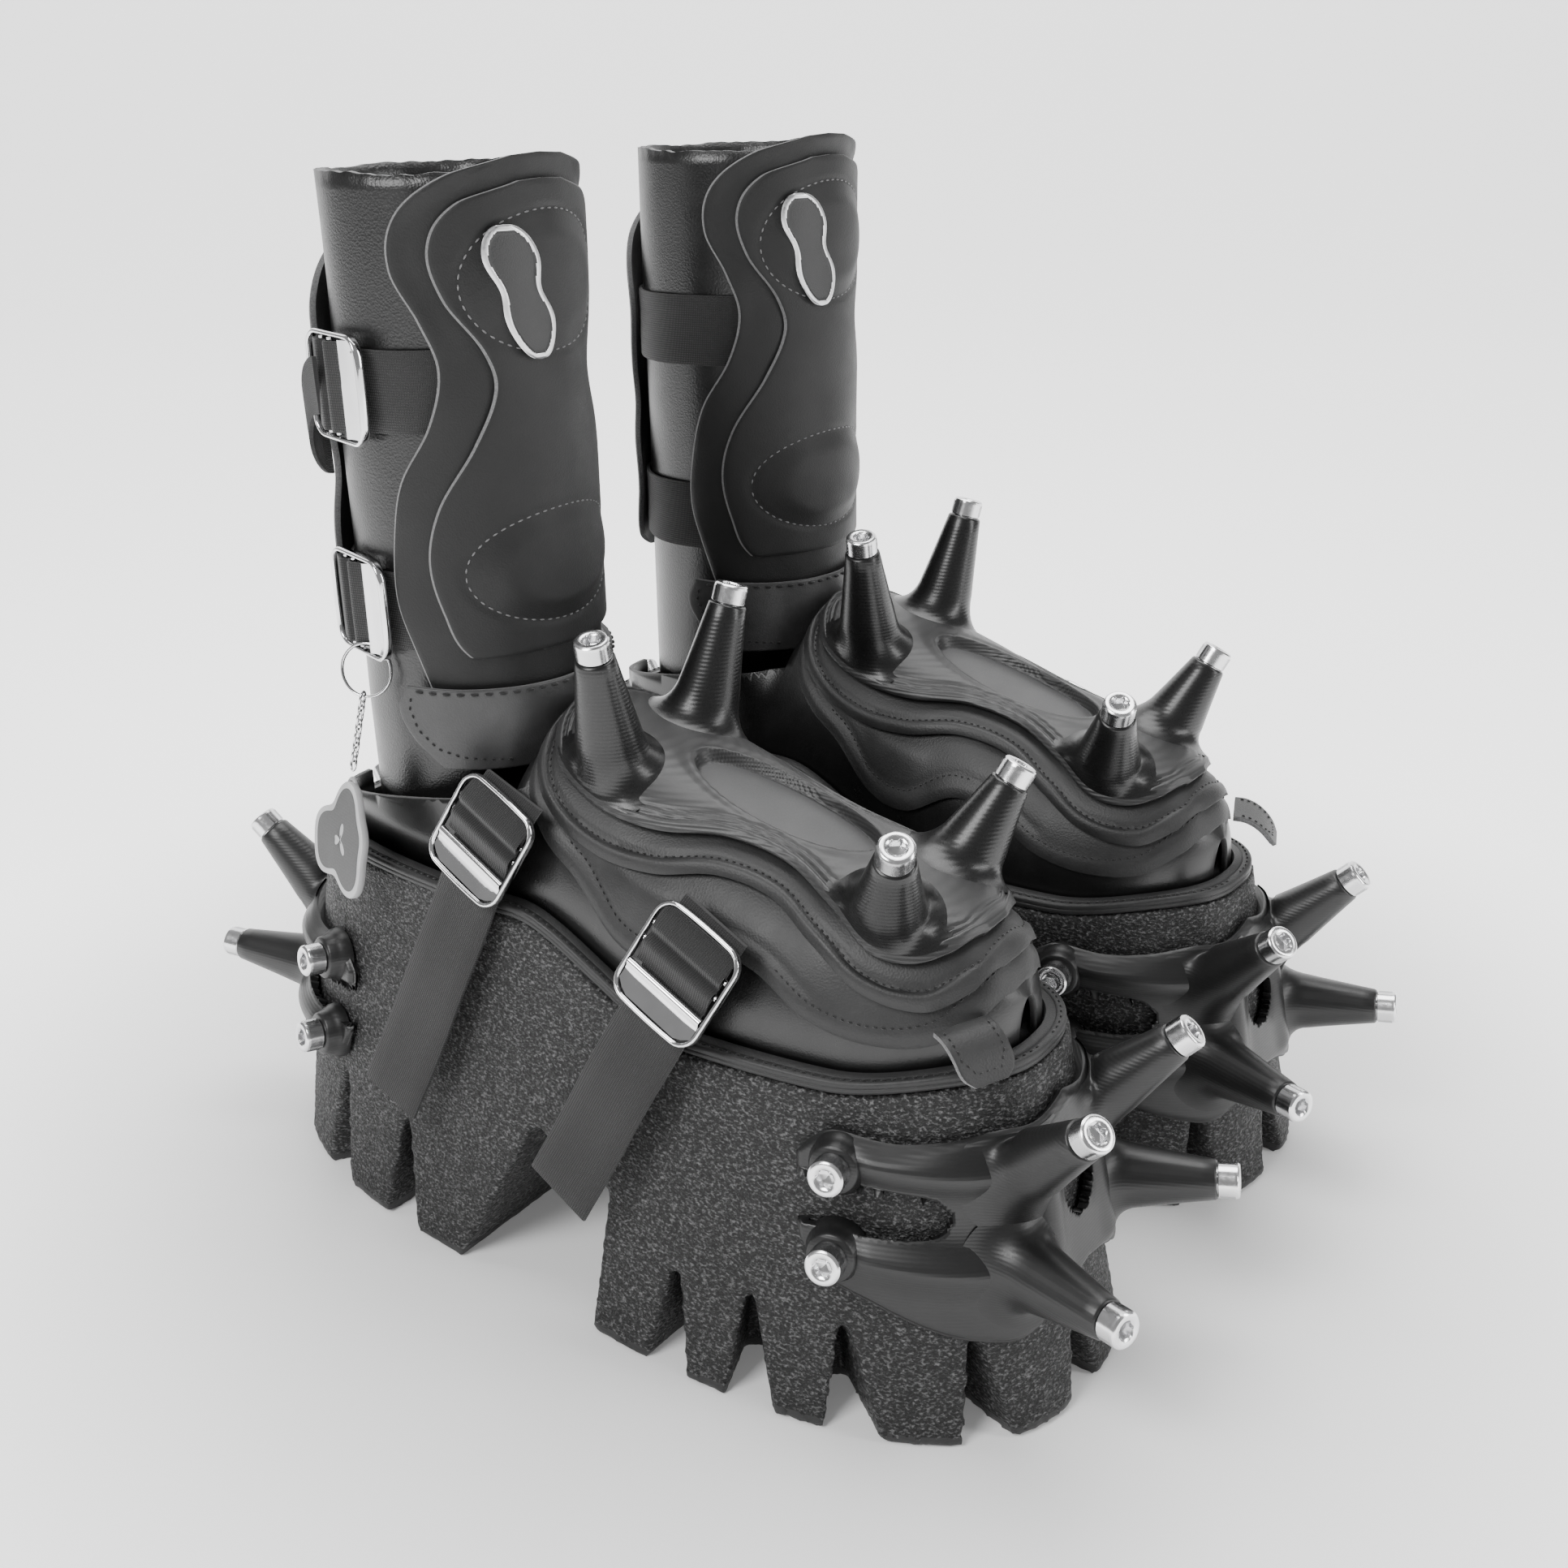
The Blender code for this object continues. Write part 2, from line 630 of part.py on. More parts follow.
def make_plates():
    make_end_plate("toe_plate", -1, {"up": (37.1, -200.5, 132.0), "low": (47.0, -218.9, 70.6)},
                   {"up": (73, -137, 101), "low": (84, -154, 70)})
    make_end_plate("heel_plate", 1, {"up": (36.5, 212.0, 134.0), "low": (47.0, 234.0, 69.0)},
                   {"up": (70, 125, 104), "low": (80, 140, 70)})


# ---------------------------------------------------------------- leg
def make_leg():
    n = 32
    outer = [[leg(360 * i / n, z, TUBE_R) for i in range(n)] for z in (TUBE_LOW, TUBE_TOP)]
    inner = [[leg(360 * i / n, z, TUBE_R - TUBE_WALL) for i in range(n)] for z in (TUBE_LOW, TUBE_TOP)]
    keep(tube_ring("shaft", outer, inner, "leather"))
    surf = lambda s, z, off: leg(s, z, off)
    edge = ((206, 58), (222, 64), (245, 73), (262, 78), (285, 76), (305, 70), (325, 56), (345, 50),
            (362, 56), (380, 66), (398, 62), (411, 42), (417, 14))
    zs = [lerp(206, 417, t) for t in span(0, 0.88, 12)] + [lerp(206, 417, t) for t in (0.93, 0.97, 0.99, 1.0)]
    keep(sheet("shin_guard", surf, zs, limits(edge, -1), limits(edge), 8, GUARD_IN, GUARD_OUT, "suede"))
    edge2 = ((238, 46), (256, 56), (276, 60), (296, 54), (318, 38), (338, 28), (352, 32), (370, 46),
             (388, 50), (402, 38), (408, 14))
    zs = [lerp(238, 408, (1 - cos(pi * i / 12)) / 2) for i in range(13)]
    keep(sheet("shin_overlay", surf, zs, limits(edge2, -1), limits(edge2), 7,
               GUARD_OUT + 0.8, GUARD_OUT + 2.6, "suede"))
    blob = ((348, 8), (353, 12), (362, 12.5), (370, 10), (378, 12.5), (388, 14), (394, 8))
    zs = [lerp(348, 394, (1 - cos(pi * i / 9)) / 2) for i in range(10)]
    shift = ((348, 9), (362, 12), (374, 16), (394, 21))
    # both badges sit towards the same side of the pair, so the left one is not a mirror image
    for name, way in (("shin_badge", -1), ("shin_badge_twin", 1)):
        keep(sheet(name, surf, zs, lambda z: way * curve(shift, z) - curve(blob, z),
                   lambda z: way * curve(shift, z) + curve(blob, z), 4, GUARD_OUT + 3.2,
                   GUARD_OUT + 5.4, "badge"))
    back = ((226, 20), (236, 40), (256, 54), (272, 52), (296, 34), (318, 40), (340, 54), (354, 52),
            (372, 34), (384, 14))
    zs = [lerp(226, 384, (1 - cos(pi * i / 11)) / 2) for i in range(12)]
    keep(sheet("calf_panel", lambda s, z, off: leg(180 + s, z, off), zs, limits(back, -1), limits(back),
               8, GUARD_IN, GUARD_OUT - 0.2, "suede"))
    cuff = ((193, 60), (204, 72), (215, 78), (225, 74))
    keep(sheet("ankle_cuff", lambda s, z, off: leg(s, z + 3 * (1 - cos(radians(s))), off + (225 - z) * 0.04),
               span(193, 225, 3), limits(cuff, -1), limits(cuff), 16, 52.6, 54.8, "leather"))
    for tag, z in zip(("upper", "lower"), LEG_STRAP_Z):
        keep(sheet("leg_strap_" + tag, lambda s, zz, off: leg(180 + s, zz, off),
                   [z - WEB / 2, z + WEB / 2], lambda t: -142, lambda t: 142, 22,
                   STRAP_IN, STRAP_OUT, "web"))


# ---------------------------------------------------------------- buckles and straps
def buckle(name, centre, along, out, mat="chrome"):
    """Ladder-lock: rounded frame, grip bar, centre bar and a rolled end plate."""
    c, u, n = Vector(centre), Vector(along).normalized(), Vector(out).normalized()
    u = (u - n * u.dot(n)).normalized()
    v = n.cross(u)
    hl, hw, rod = 20.0, 20.5, 1.5          # half length, half width, rail half thickness

    def loop(a, b, rc, h, steps=2):
        pts = []
        for sx, sy, start in ((1, 1, 0), (-1, 1, 90), (-1, -1, 180), (1, -1, 270)):
            for k in range(steps + 1):
                ang = radians(start + 90 * k / steps)
                pts.append(c + u * (sx * (a - rc) + rc * cos(ang)) + v * (sy * (b - rc) + rc * sin(ang)) + n * h)
        return pts
    outer = [loop(hl, hw, 7.0, -rod), loop(hl, hw, 7.0, rod)]
    inner = [loop(hl - 3.4, hw - 3.0, 4.5, -rod), loop(hl - 3.4, hw - 3.0, 4.5, rod)]
    ob = tube_ring(name, outer, inner, mat)
    w = 2 * hw - 3.0
    for tag, pos, size in (("bar", -2.5, (3.0, w, 2.2)), ("grip", -9.0, (2.2, w, 1.8)),
                           ("end", 13.0, (9.0, w, 1.6))):
        boolean(ob, as_cutter(box_solid("%s_%s" % (name, tag), c + u * pos + n * 0.2,
                                        (u, v, n), size)), 'UNION')
    return keep(ob)


def make_leg_buckles():
    for tag, z in zip(("upper", "lower"), LEG_STRAP_Z):
        a = radians(LEG_BUCKLE_ANGLE)
        out = Vector((sin(a), -cos(a), 0))
        back = Vector((-cos(a), -sin(a), 0)) * -1
        buckle("leg_buckle_" + tag, leg(LEG_BUCKLE_ANGLE, z, STRAP_OUT + 2.3), back, out)


FOOT = {"rear": ((-50.0, 34.0, 196.0), (-57.5, 43.0, 176.0), (-72.0, 60.0, 122.0), (-88.0, 78.0, 66.0)),
        "front": ((-52.5, -62.0, 172.0), (-62.5, -54.0, 153.0), (-76.0, -34.0, 108.0), (-90.0, -14.0, 61.0))}


def ribbon_frame(tag):
    a, b, c, d = [Vector(p) for p in FOOT[tag]]
    run = (d - a).normalized()
    out = Vector((-0.93, -0.05, 0.35))
    out = (out - run * out.dot(run)).normalized()
    return a, b, c, d, run, out, out.cross(run).normalized()


def make_foot_straps():
    for tag in ("rear", "front"):
        a, b, c, d, run, out, side = ribbon_frame(tag)
        stack = []
        pts = [a, b, c, d]
        for k in range(13):
            t = k / 12 * 3
            i = min(2, int(t))
            f = t - i
            p0, p1 = pts[max(0, i - 1)], pts[i]
            p2, p3 = pts[i + 1], pts[min(3, i + 2)]
            q = 0.5 * ((2 * p1) + (p2 - p0) * f + (2 * p0 - 5 * p1 + 4 * p2 - p3) * f * f
                       + (3 * p1 - p0 - 3 * p2 + p3) * f ** 3)
            stack.append([q + side * (WEB / 2) * s + out * h for s, h in
                          ((-1, -0.9), (1, -0.9), (1, 0.9), (-1, 0.9))])
        keep(rings("foot_strap_" + tag, stack, "web"))
        top = (b - a).normalized()
        n = (out - top * out.dot(top)).normalized()
        buckle("foot_buckle_" + tag, b + n * 3.6, top, n)


def make_pull_tab():
    a = radians(24)
    pts = []
    base = Vector((-30, -146, 0))
    d = Vector((-sin(a), -cos(a), 0))
    side = Vector((-d.y, d.x, 0))
    for k, (run, z) in enumerate(((0, 147), (7, 146), (13, 142), (18, 135))):
        pts.append((base + d * run + Vector((0, 0, z)), 1.1))
    stack = []
    for p, h in pts:
        stack.append([p - side * 11, p + side * 11, p + side * 11 + Vector((0, 0, 2 * h)) + d * h,
                      p - side * 11 + Vector((0, 0, 2 * h)) + d * h])
    return keep(rings("pull_tab", stack, "leather"))


make_platform()
make_upper()
make_footbed()
make_welt()
make_vamp_layers()
make_instep()
make_plates()
make_leg()
make_leg_buckles()
make_foot_straps()
make_pull_tab()

for ob in made:
    bake(ob)

# ---------------------------------------------------------------- place the pair
RIGHT = (Matrix.Translation((-BOOT_PITCH / 2 * MM, SHIFT_Y * MM, 0)) @ Matrix.Rotation(radians(TOE_IN), 4, 'Z'))
twin_badge = next(ob for ob in made if ob.name == "shin_badge_twin")
made.remove(twin_badge)
twin_badge.data.transform(RIGHT)
for ob in list(made):
    ob.data.transform(RIGHT)
    base = ob.name
    ob.name = "right_" + base
    ob.data.name = ob.name
    me = twin_badge.data.copy() if base == "shin_badge" else ob.data.copy()
    me.transform(Matrix.Scale(-1, 4, (1, 0, 0)))
    me.flip_normals()
    twin = bpy.data.objects.new("left_" + base, me)
    me.name = twin.name
    parts.objects.link(twin)


bpy.data.objects.remove(twin_badge)


# ---------------------------------------------------------------- key ring, chain and charm
def make_keychain():
    z = LEG_STRAP_Z[1]
    rail = leg(LEG_BUCKLE_ANGLE, z - 20.5 + 1.5, STRAP_OUT + 2.3)
    out = (leg(LEG_BUCKLE_ANGLE, z, 80) - leg(LEG_BUCKLE_ANGLE, z, 50)).normalized()
    tang = Vector((-out.y, out.x, 0))

    def torus(name, c, e1, e2, major, minor, n1, n2, mat=None, stretch=1.0):
        c, e1, e2 = Vector(c), Vector(e1), Vector(e2)
        e3 = e1.cross(e2)
        verts, faces = [], []
        for i in range(n1):
            a = 2 * pi * i / n1
            d = e1 * cos(a) + e2 * sin(a)
            mid = c + e1 * (major * cos(a)) + e2 * (major * stretch * sin(a))
            for j in range(n2):
                b = 2 * pi * j / n2
                verts.append(mid + d * (minor * cos(b)) + e3 * (minor * sin(b)))
        for i in range(n1):
            for j in range(n2):
                faces.append((i * n2 + j, ((i + 1) % n1) * n2 + j,
                              ((i + 1) % n1) * n2 + (j + 1) % n2, i * n2 + (j + 1) % n2))
        return new_object(name, verts, faces, mat)
    up = Vector((0, 0, 1))
    lean = radians(CHAIN_LEAN)
    up = (up * cos(lean) - out * sin(lean)).normalized()
    e = (out * cos(radians(55)) - tang * sin(radians(55))).normalized()
    cross = e.cross(up).normalized()
    e = up.cross(cross).normalized()
    c = rail + tang * 4.0 + Vector((0, 0, 3.7)) - up * KEYRING_R
    ring = torus("key_ring", c, e, up, KEYRING_R, KEYRING_ROD, 20, 5, "chrome")
    face = tang
    flat = up.cross(tang).normalized()
    link0 = c - up * (KEYRING_R + 1.15)
    first = torus("key_chain", link0, cross, up, 2.4, 0.7, 10, 4, "chrome", 1.3)
    beads = [(0.8, 1.2)]
    for k in range(6):
        beads += [(2.0, -1.0 - 4.6 * k), (2.0, -3.4 - 4.6 * k), (0.9, -4.6 - 4.6 * k)]
    low = link0 - up * (2.4 * 1.3 + 0.9)
    p = low - up * 26.5
    stack = [[low + flat * (r * cos(pi * i / 3)) + tang * (r * sin(pi * i / 3)) + up * h
              for i in range(6)] for r, h in beads]
    boolean(first, as_cutter(rings("chain_body_cutter", stack)), 'UNION')
    bake(first)
    hang = p - up * 3.4
    stack = []
    for h in (-1.4, 1.4):
        ringp = []
        for i in range(30):
            a = 2 * pi * i / 30
            r = 20.5 + 3.2 * cos(3 * a - 0.6) + 1.6 * cos(5 * a)
            ringp.append(hang - up * 24 + face * (r * sin(a)) + up * (r * 0.98 * cos(a)) + flat * h)
        stack.append(ringp)
    charm = rings("charm", stack, "plate")
    eye = turned("charm_eye_cutter", hang - flat * 6 - up * 1.2, flat, [(2.2, 0), (2.2, 12)], 14)
    boolean(charm, as_cutter(eye), 'DIFFERENCE')
    bake(charm)
    for ob in (ring, first, charm):
        ob.data.transform(RIGHT)


make_keychain()


# ---------------------------------------------------------------- pivots
def pivot(name, at, children):
    """Empty on a joint's axis with the pieces that turn about it parented to it."""
    e = bpy.data.objects.new(name, None)
    e.empty_display_size = 0.02
    e.location = at
    parts.objects.link(e)
    back = Matrix.Translation(at).inverted()
    for child in children:
        ob = bpy.data.objects[child]
        ob.parent = e
        ob.matrix_parent_inverse = back


LEG = ("shaft", "shin_guard", "shin_overlay", "shin_badge", "calf_panel", "leg_strap_upper",
       "leg_strap_lower")
for side in ("right", "left"):
    flip = Matrix.Scale(-1, 4, (1, 0, 0)) if side == "left" else Matrix.Identity(4)
    place = lambda p: flip @ RIGHT @ (Vector(p) * MM)
    pivot(side + "_ankle_pivot", place((0, LEG_Y, 212)), [side + "_" + n for n in LEG])
    for tag, z in zip(("upper", "lower"), LEG_STRAP_Z):
        a = radians(LEG_BUCKLE_ANGLE)
        rail = leg(LEG_BUCKLE_ANGLE, z, STRAP_OUT + 2.3) - Vector((cos(a), sin(a), 0)) * 18.3
        pivot("%s_leg_buckle_%s_pivot" % (side, tag), place(rail), ["%s_leg_buckle_%s" % (side, tag)])
    for tag in ("rear", "front"):
        a, b, c, d, run, out, across = ribbon_frame(tag)
        pivot("%s_foot_strap_%s_pivot" % (side, tag), place(a), ["%s_foot_strap_%s" % (side, tag)])
        top = (b - a).normalized()
        n = (out - top * out.dot(top)).normalized()
        pivot("%s_foot_buckle_%s_pivot" % (side, tag), place(b + n * 3.6 - top * 18.3),
              ["%s_foot_buckle_%s" % (side, tag)])
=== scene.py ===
"""Looks of a pair of spiked platform boots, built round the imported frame.

Each piece is modelled in millimetres about the right boot's own axis (toe to -Y, outer
side to -X), then set in its place in the pair and mirrored for the left boot.
"""

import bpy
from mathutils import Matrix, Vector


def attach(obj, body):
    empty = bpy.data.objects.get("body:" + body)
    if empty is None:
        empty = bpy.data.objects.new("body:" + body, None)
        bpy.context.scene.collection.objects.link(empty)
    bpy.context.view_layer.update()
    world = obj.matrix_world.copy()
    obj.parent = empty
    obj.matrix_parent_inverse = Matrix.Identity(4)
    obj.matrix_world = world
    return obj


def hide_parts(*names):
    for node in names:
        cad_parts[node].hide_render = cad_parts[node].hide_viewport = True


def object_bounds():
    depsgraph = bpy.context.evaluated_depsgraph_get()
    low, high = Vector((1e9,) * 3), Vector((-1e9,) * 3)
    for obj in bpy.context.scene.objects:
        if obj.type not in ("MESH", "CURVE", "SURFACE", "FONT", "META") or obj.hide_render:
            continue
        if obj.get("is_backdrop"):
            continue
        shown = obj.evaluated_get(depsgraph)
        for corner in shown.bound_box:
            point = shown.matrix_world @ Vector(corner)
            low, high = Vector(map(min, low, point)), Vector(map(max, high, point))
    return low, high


bl_info = {
    "name": "Spiked platform boots",
    "version": (1, 0, 0),
    "blender": (4, 2, 0),
    "location": "View3D > Sidebar > Boots",
    "description": "Builds the leather, webbing, printed and chromed pieces of a pair of spiked platform boots",
    "category": "Object",
}
from math import atan2, cos, degrees, exp, hypot, pi, radians, sin, sqrt

import bmesh
import bpy
from bpy.props import FloatProperty, FloatVectorProperty, PointerProperty
from bpy.types import Operator, Panel, PropertyGroup
from mathutils import Matrix, Vector, noise

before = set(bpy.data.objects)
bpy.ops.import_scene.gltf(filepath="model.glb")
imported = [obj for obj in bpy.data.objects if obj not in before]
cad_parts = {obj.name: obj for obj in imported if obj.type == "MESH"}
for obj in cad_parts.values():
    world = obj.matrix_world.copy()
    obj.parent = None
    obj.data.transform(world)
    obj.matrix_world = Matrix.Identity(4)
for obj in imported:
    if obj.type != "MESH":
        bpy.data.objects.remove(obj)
CAD_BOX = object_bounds()

MM = 0.001
RIGHT = Matrix.Translation((-0.0834, -0.00761, 0)) @ Matrix.Rotation(radians(2.1), 4, 'Z')
FLIP = Matrix.Scale(-1, 4, (1, 0, 0))
LEG_Y = 101.0
TUBE_R, TUBE_WALL = 44.5, 2.6
TUBE_LOW, TUBE_TOP = 168.0, 412.0
WEB = 30.0
LEG_STRAP_Z = (337.0, 254.0)
BUCKLE_ANGLE = -104.0
HEAD_R, HEAD_H, HEX_AF = 6.5, 8.0, 6.0
UP = Vector((0, 0, 1))


# ------------------------------------------------------------------ measures of the boot
def lerp(a, b, t):
    return a + (b - a) * t


def smooth(a, b, x):
    t = min(1.0, max(0.0, (x - a) / (b - a)))
    return t * t * (3 - 2 * t)


def bell(x, width):
    return exp(-(x / width) ** 2)


def curve(pairs, x):
    """Smooth curve through (x, value) pairs."""
    if x <= pairs[0][0]:
        return pairs[0][1]
    for i in range(len(pairs) - 1):
        x0, v0 = pairs[i]
        x1, v1 = pairs[i + 1]
        if x <= x1:
            m0 = (v1 - pairs[i - 1][1]) / (x1 - pairs[i - 1][0]) if i else (v1 - v0) / (x1 - x0)
            m1 = ((pairs[i + 2][1] - v0) / (pairs[i + 2][0] - x0)
                  if i + 2 < len(pairs) else (v1 - v0) / (x1 - x0))
            h = x1 - x0
            t = (x - x0) / h
            return ((2 * t**3 - 3 * t**2 + 1) * v0 + (t**3 - 2 * t**2 + t) * h * m0
                    + (-2 * t**3 + 3 * t**2) * v1 + (t**3 - t**2) * h * m1)
    return pairs[-1][1]


def deck(y):
    """Height of the platform under the foot."""
    return 119 + 28 * smooth(-45, 35, y) + 9 * smooth(-105, -160, y)


def wall_xy(phi, t):
    """Platform wall in plan: phi 0 at the toe, +90 degrees outer side; t 0 floor, 1 deck."""
    f = max(0.0, 1 - t) ** 1.1
    y0, y1 = lerp(-165, -190, f), lerp(167, 196, f)
    c, s = cos(phi), sin(phi)
    n = lerp(2.6, 2.75, f) if c > 0 else lerp(3.8, 2.9, f)
    mid, half = (y0 + y1) / 2, (y1 - y0) / 2
    y = mid - half * (1 if c > 0 else -1) * abs(c) ** (2 / n)
    w = lerp(62.5, 89.0 if s > 0 else 78.0, f)
    w *= 1 - lerp(0.06, 0.02, f) * smooth(90, 15, abs(y - 25))
    return -w * (1 if s > 0 else -1) * abs(s) ** (2 / n), y


def wall_at(phi, z):
    y = wall_xy(phi, z / 125.0)[1]     # near enough to tell how high the deck is there
    x, y = wall_xy(phi, min(1.0, max(0.0, z / deck(y))))
    return Vector((x, y, z))


def wall(phi, z, off=0.0):
    p = wall_at(phi, z)
    if off:
        n = (wall_at(phi + 0.02, z) - wall_at(phi - 0.02, z)).cross(wall_at(phi, z + 2) - wall_at(phi, z - 2))
        n.normalize()
        if n.dot(Vector((p.x, p.y * 0.6, 0))) < 0:
            n.negate()
        p = p + n * off
    return p


def foot_width(y, grow=0.0):
    half = 157 + grow
    n = 2.5 if y < 1 else 4.0
    u = min(0.9999, abs((y - 1) / half))
    return (54 + grow) * (1 - 0.06 * smooth(60, 15, abs(y - 5))) * (1 - u ** n) ** (1 / n)


CROWN = ((-156, 148), (-148, 160), (-132, 167), (-110, 173), (-80, 179), (-50, 186),
         (-20, 193), (10, 200), (40, 207), (70, 215), (100, 218), (160, 216))


def section(y, angle, off=0.0):
    """Arch of the shoe at y; angle 0 at the outer welt, pi at the inner one."""
    b = deck(y) + 0.4
    w = max(1.0, foot_width(y) + off)
    h = curve(CROWN, y) - b + off
    n = lerp(2.3, 5.0, smooth(45, 80, y))
    c, s = cos(angle), max(0.0, sin(angle))
    return Vector((-w * (1 if c > 0 else -1) * abs(c) ** (2 / n), y, b + h * s ** (2 / n)))


ARCHES = {}


def half_arch(y, off):
    key = (round(y, 3), off)
    if key not in ARCHES:
        pts = [section(y, pi * (0.5 + 0.5 * k / 60), off) for k in range(61)]
        run = [0.0]
        for a, b in zip(pts, pts[1:]):
            run.append(run[-1] + (b - a).length)
        ARCHES[key] = (pts, run)
    return ARCHES[key]


def along(pts, run, want):
    lo, hi = 0, len(run) - 1
    if want >= run[-1]:
        d = (pts[-1] - pts[-3]).normalized()
        return pts[-1] + d * (want - run[-1])
    while hi - lo > 1:
        mid = (lo + hi) // 2
        if run[mid] <= want:
            lo = mid
        else:
            hi = mid
    return pts[lo].lerp(pts[hi], (want - run[lo]) / max(1e-9, run[hi] - run[lo]))


def vamp(s, y, off=0.0):
    """Point on the front of the shoe, s millimetres of arc from its ridge."""
    a = along(*half_arch(y, 0.0), abs(s))
    b = along(*half_arch(y, 12.0), abs(s))
    p = a.lerp(b, off / 12.0)
    return Vector((p.x if s > 0 else -p.x, y, p.z))


def from_leg(p):
    """Way out from the leg's axis."""
    return Vector((p.x, p.y - LEG_Y, 0))


def upward(p):
    return UP


def leg(theta, z, r):
    a = radians(theta)
    return Vector((r * sin(a), LEG_Y - r * cos(a), z))


def end_arc(way):
    """Arc length from the toe (-1) or heel (1) centre, as a table to the wall's angle."""
    table, run = [(0.0, 0.0)], 0.0
    last = wall(0.0 if way < 0 else pi, 82)
    for i in range(1, 121):
        d = pi * 0.5 * i / 120
        p = wall(d if way < 0 else pi - d, 82)
        run += (p - last).length
        table.append((run, d))
        last = p

    def phi(a):
        s = abs(a)
        d = table[-1][1]
        for (r0, d0), (r1, d1) in zip(table, table[1:]):
            if s <= r1:
                d = lerp(d0, d1, (s - r0) / (r1 - r0))
                break
        d = d if a < 0 else -d
        return d if way < 0 else pi - d
    return lambda a, z, off: wall(phi(a), z, off)


# ------------------------------------------------------------------ finishes
def shader(name):
    m = bpy.data.materials.new(name)
    m.use_nodes = True
    t = m.node_tree
    return m, t, t.nodes["Principled BSDF"]


def link(t, a, b):
    t.links.new(a, b)


def node(t, kind, **values):
    n = t.nodes.new(kind)
    for k, v in values.items():
        if k in n.inputs:
            n.inputs[k].default_value = v
        else:
            setattr(n, k, v)
    return n


def texture(t, kind, place, scale, **values):
    n = node(t, kind, **values)
    n.inputs["Scale"].default_value = scale
    link(t, place, n.inputs["Vector"])
    return n


def ramp(t, fac, stops):
    r = node(t, "ShaderNodeValToRGB")
    e = r.color_ramp.elements
    while len(e) < len(stops):
        e.new(0.5)
    for k, (at, tone) in enumerate(stops):
        e[k].position = at
        e[k].color = (tone, tone, tone * 1.01, 1)
    link(t, fac, r.inputs["Fac"])
    return r


def tint(t, b, fac, stops, into="Base Color"):
    link(t, ramp(t, fac, stops).outputs["Color"], b.inputs[into])


def bump(t, heights, b):
    """Stack of bumps: (height socket, strength, distance in millimetres)."""
    last = None
    for socket, strength, mm in heights:
        n = node(t, "ShaderNodeBump")
        n.inputs["Strength"].default_value = strength
        n.inputs["Distance"].default_value = mm * MM
        link(t, socket, n.inputs["Height"])
        if last:
            link(t, last.outputs["Normal"], n.inputs["Normal"])
        last = n
    link(t, last.outputs["Normal"], b.inputs["Normal"])


def leather(name, tone, rough, cell=0.8, grain=0.5, sheen=0.0, spec=0.5):
    """Dyed hide: pebbled grain, slow mottling of tone, gloss that varies with handling."""
    m, t, b = shader(name)
    place = node(t, "ShaderNodeTexCoord").outputs["Object"]
    cells = texture(t, "ShaderNodeTexVoronoi", place, 1000 / cell)
    fine = texture(t, "ShaderNodeTexNoise", place, 2600, Detail=4.0, Roughness=0.7)
    slow = texture(t, "ShaderNodeTexNoise", place, 55, Detail=5.0, Roughness=0.6)
    tint(t, b, slow.outputs[0], ((0.3, tone * 0.72), (0.55, tone), (0.75, tone * 1.35)))
    tint(t, b, slow.outputs[0], ((0.25, rough * 0.86), (0.75, rough * 1.16)), "Roughness")
    b.inputs["Specular IOR Level"].default_value = spec
    b.inputs["Sheen Weight"].default_value = sheen
    b.inputs["Sheen Roughness"].default_value = 0.4
    bump(t, ((cells.outputs["Distance"], grain, 0.10), (fine.outputs[0], grain * 0.7, 0.06)), b)
    return m


def fibre(name, tone, rough=0.85):
    """Cut or fleshy side of hide, and other raw felt-like surfaces."""
    m, t, b = shader(name)
    place = node(t, "ShaderNodeTexCoord").outputs["Object"]
    fine = texture(t, "ShaderNodeTexNoise", place, 1500, Detail=6.0, Roughness=0.8)
    tint(t, b, fine.outputs[0], ((0.3, tone * 0.45), (0.5, tone), (0.72, tone * 1.7)))
    b.inputs["Roughness"].default_value = rough
    b.inputs["Sheen Weight"].default_value = 0.25
    bump(t, ((fine.outputs[0], 0.8, 0.25),), b)
    return m


def fuzzy_print(name, dark, light):
    """Rough sprayed-out print skin: short flakes about a millimetre long over dark plastic."""
    m, t, b = shader(name)
    place = node(t, "ShaderNodeTexCoord").outputs["Object"]
    stretch = node(t, "ShaderNodeMapping")
    stretch.inputs["Scale"].default_value = (1, 1, 1.7)
    link(t, place, stretch.inputs["Vector"])
    flakes = texture(t, "ShaderNodeTexNoise", stretch.outputs[0], 620, Detail=3.0, Roughness=0.65)
    chips = texture(t, "ShaderNodeTexVoronoi", stretch.outputs[0], 760)
    tint(t, b, flakes.outputs[0], ((0.50, dark), (0.60, light * 0.45), (0.70, light)))
    tint(t, b, chips.outputs["Distance"], ((0.0, 0.34), (0.7, 0.7)), "Roughness")
    bump(t, ((flakes.outputs[0], 1.0, 0.9), (chips.outputs["Distance"], 0.7, 0.4)), b)
    return m


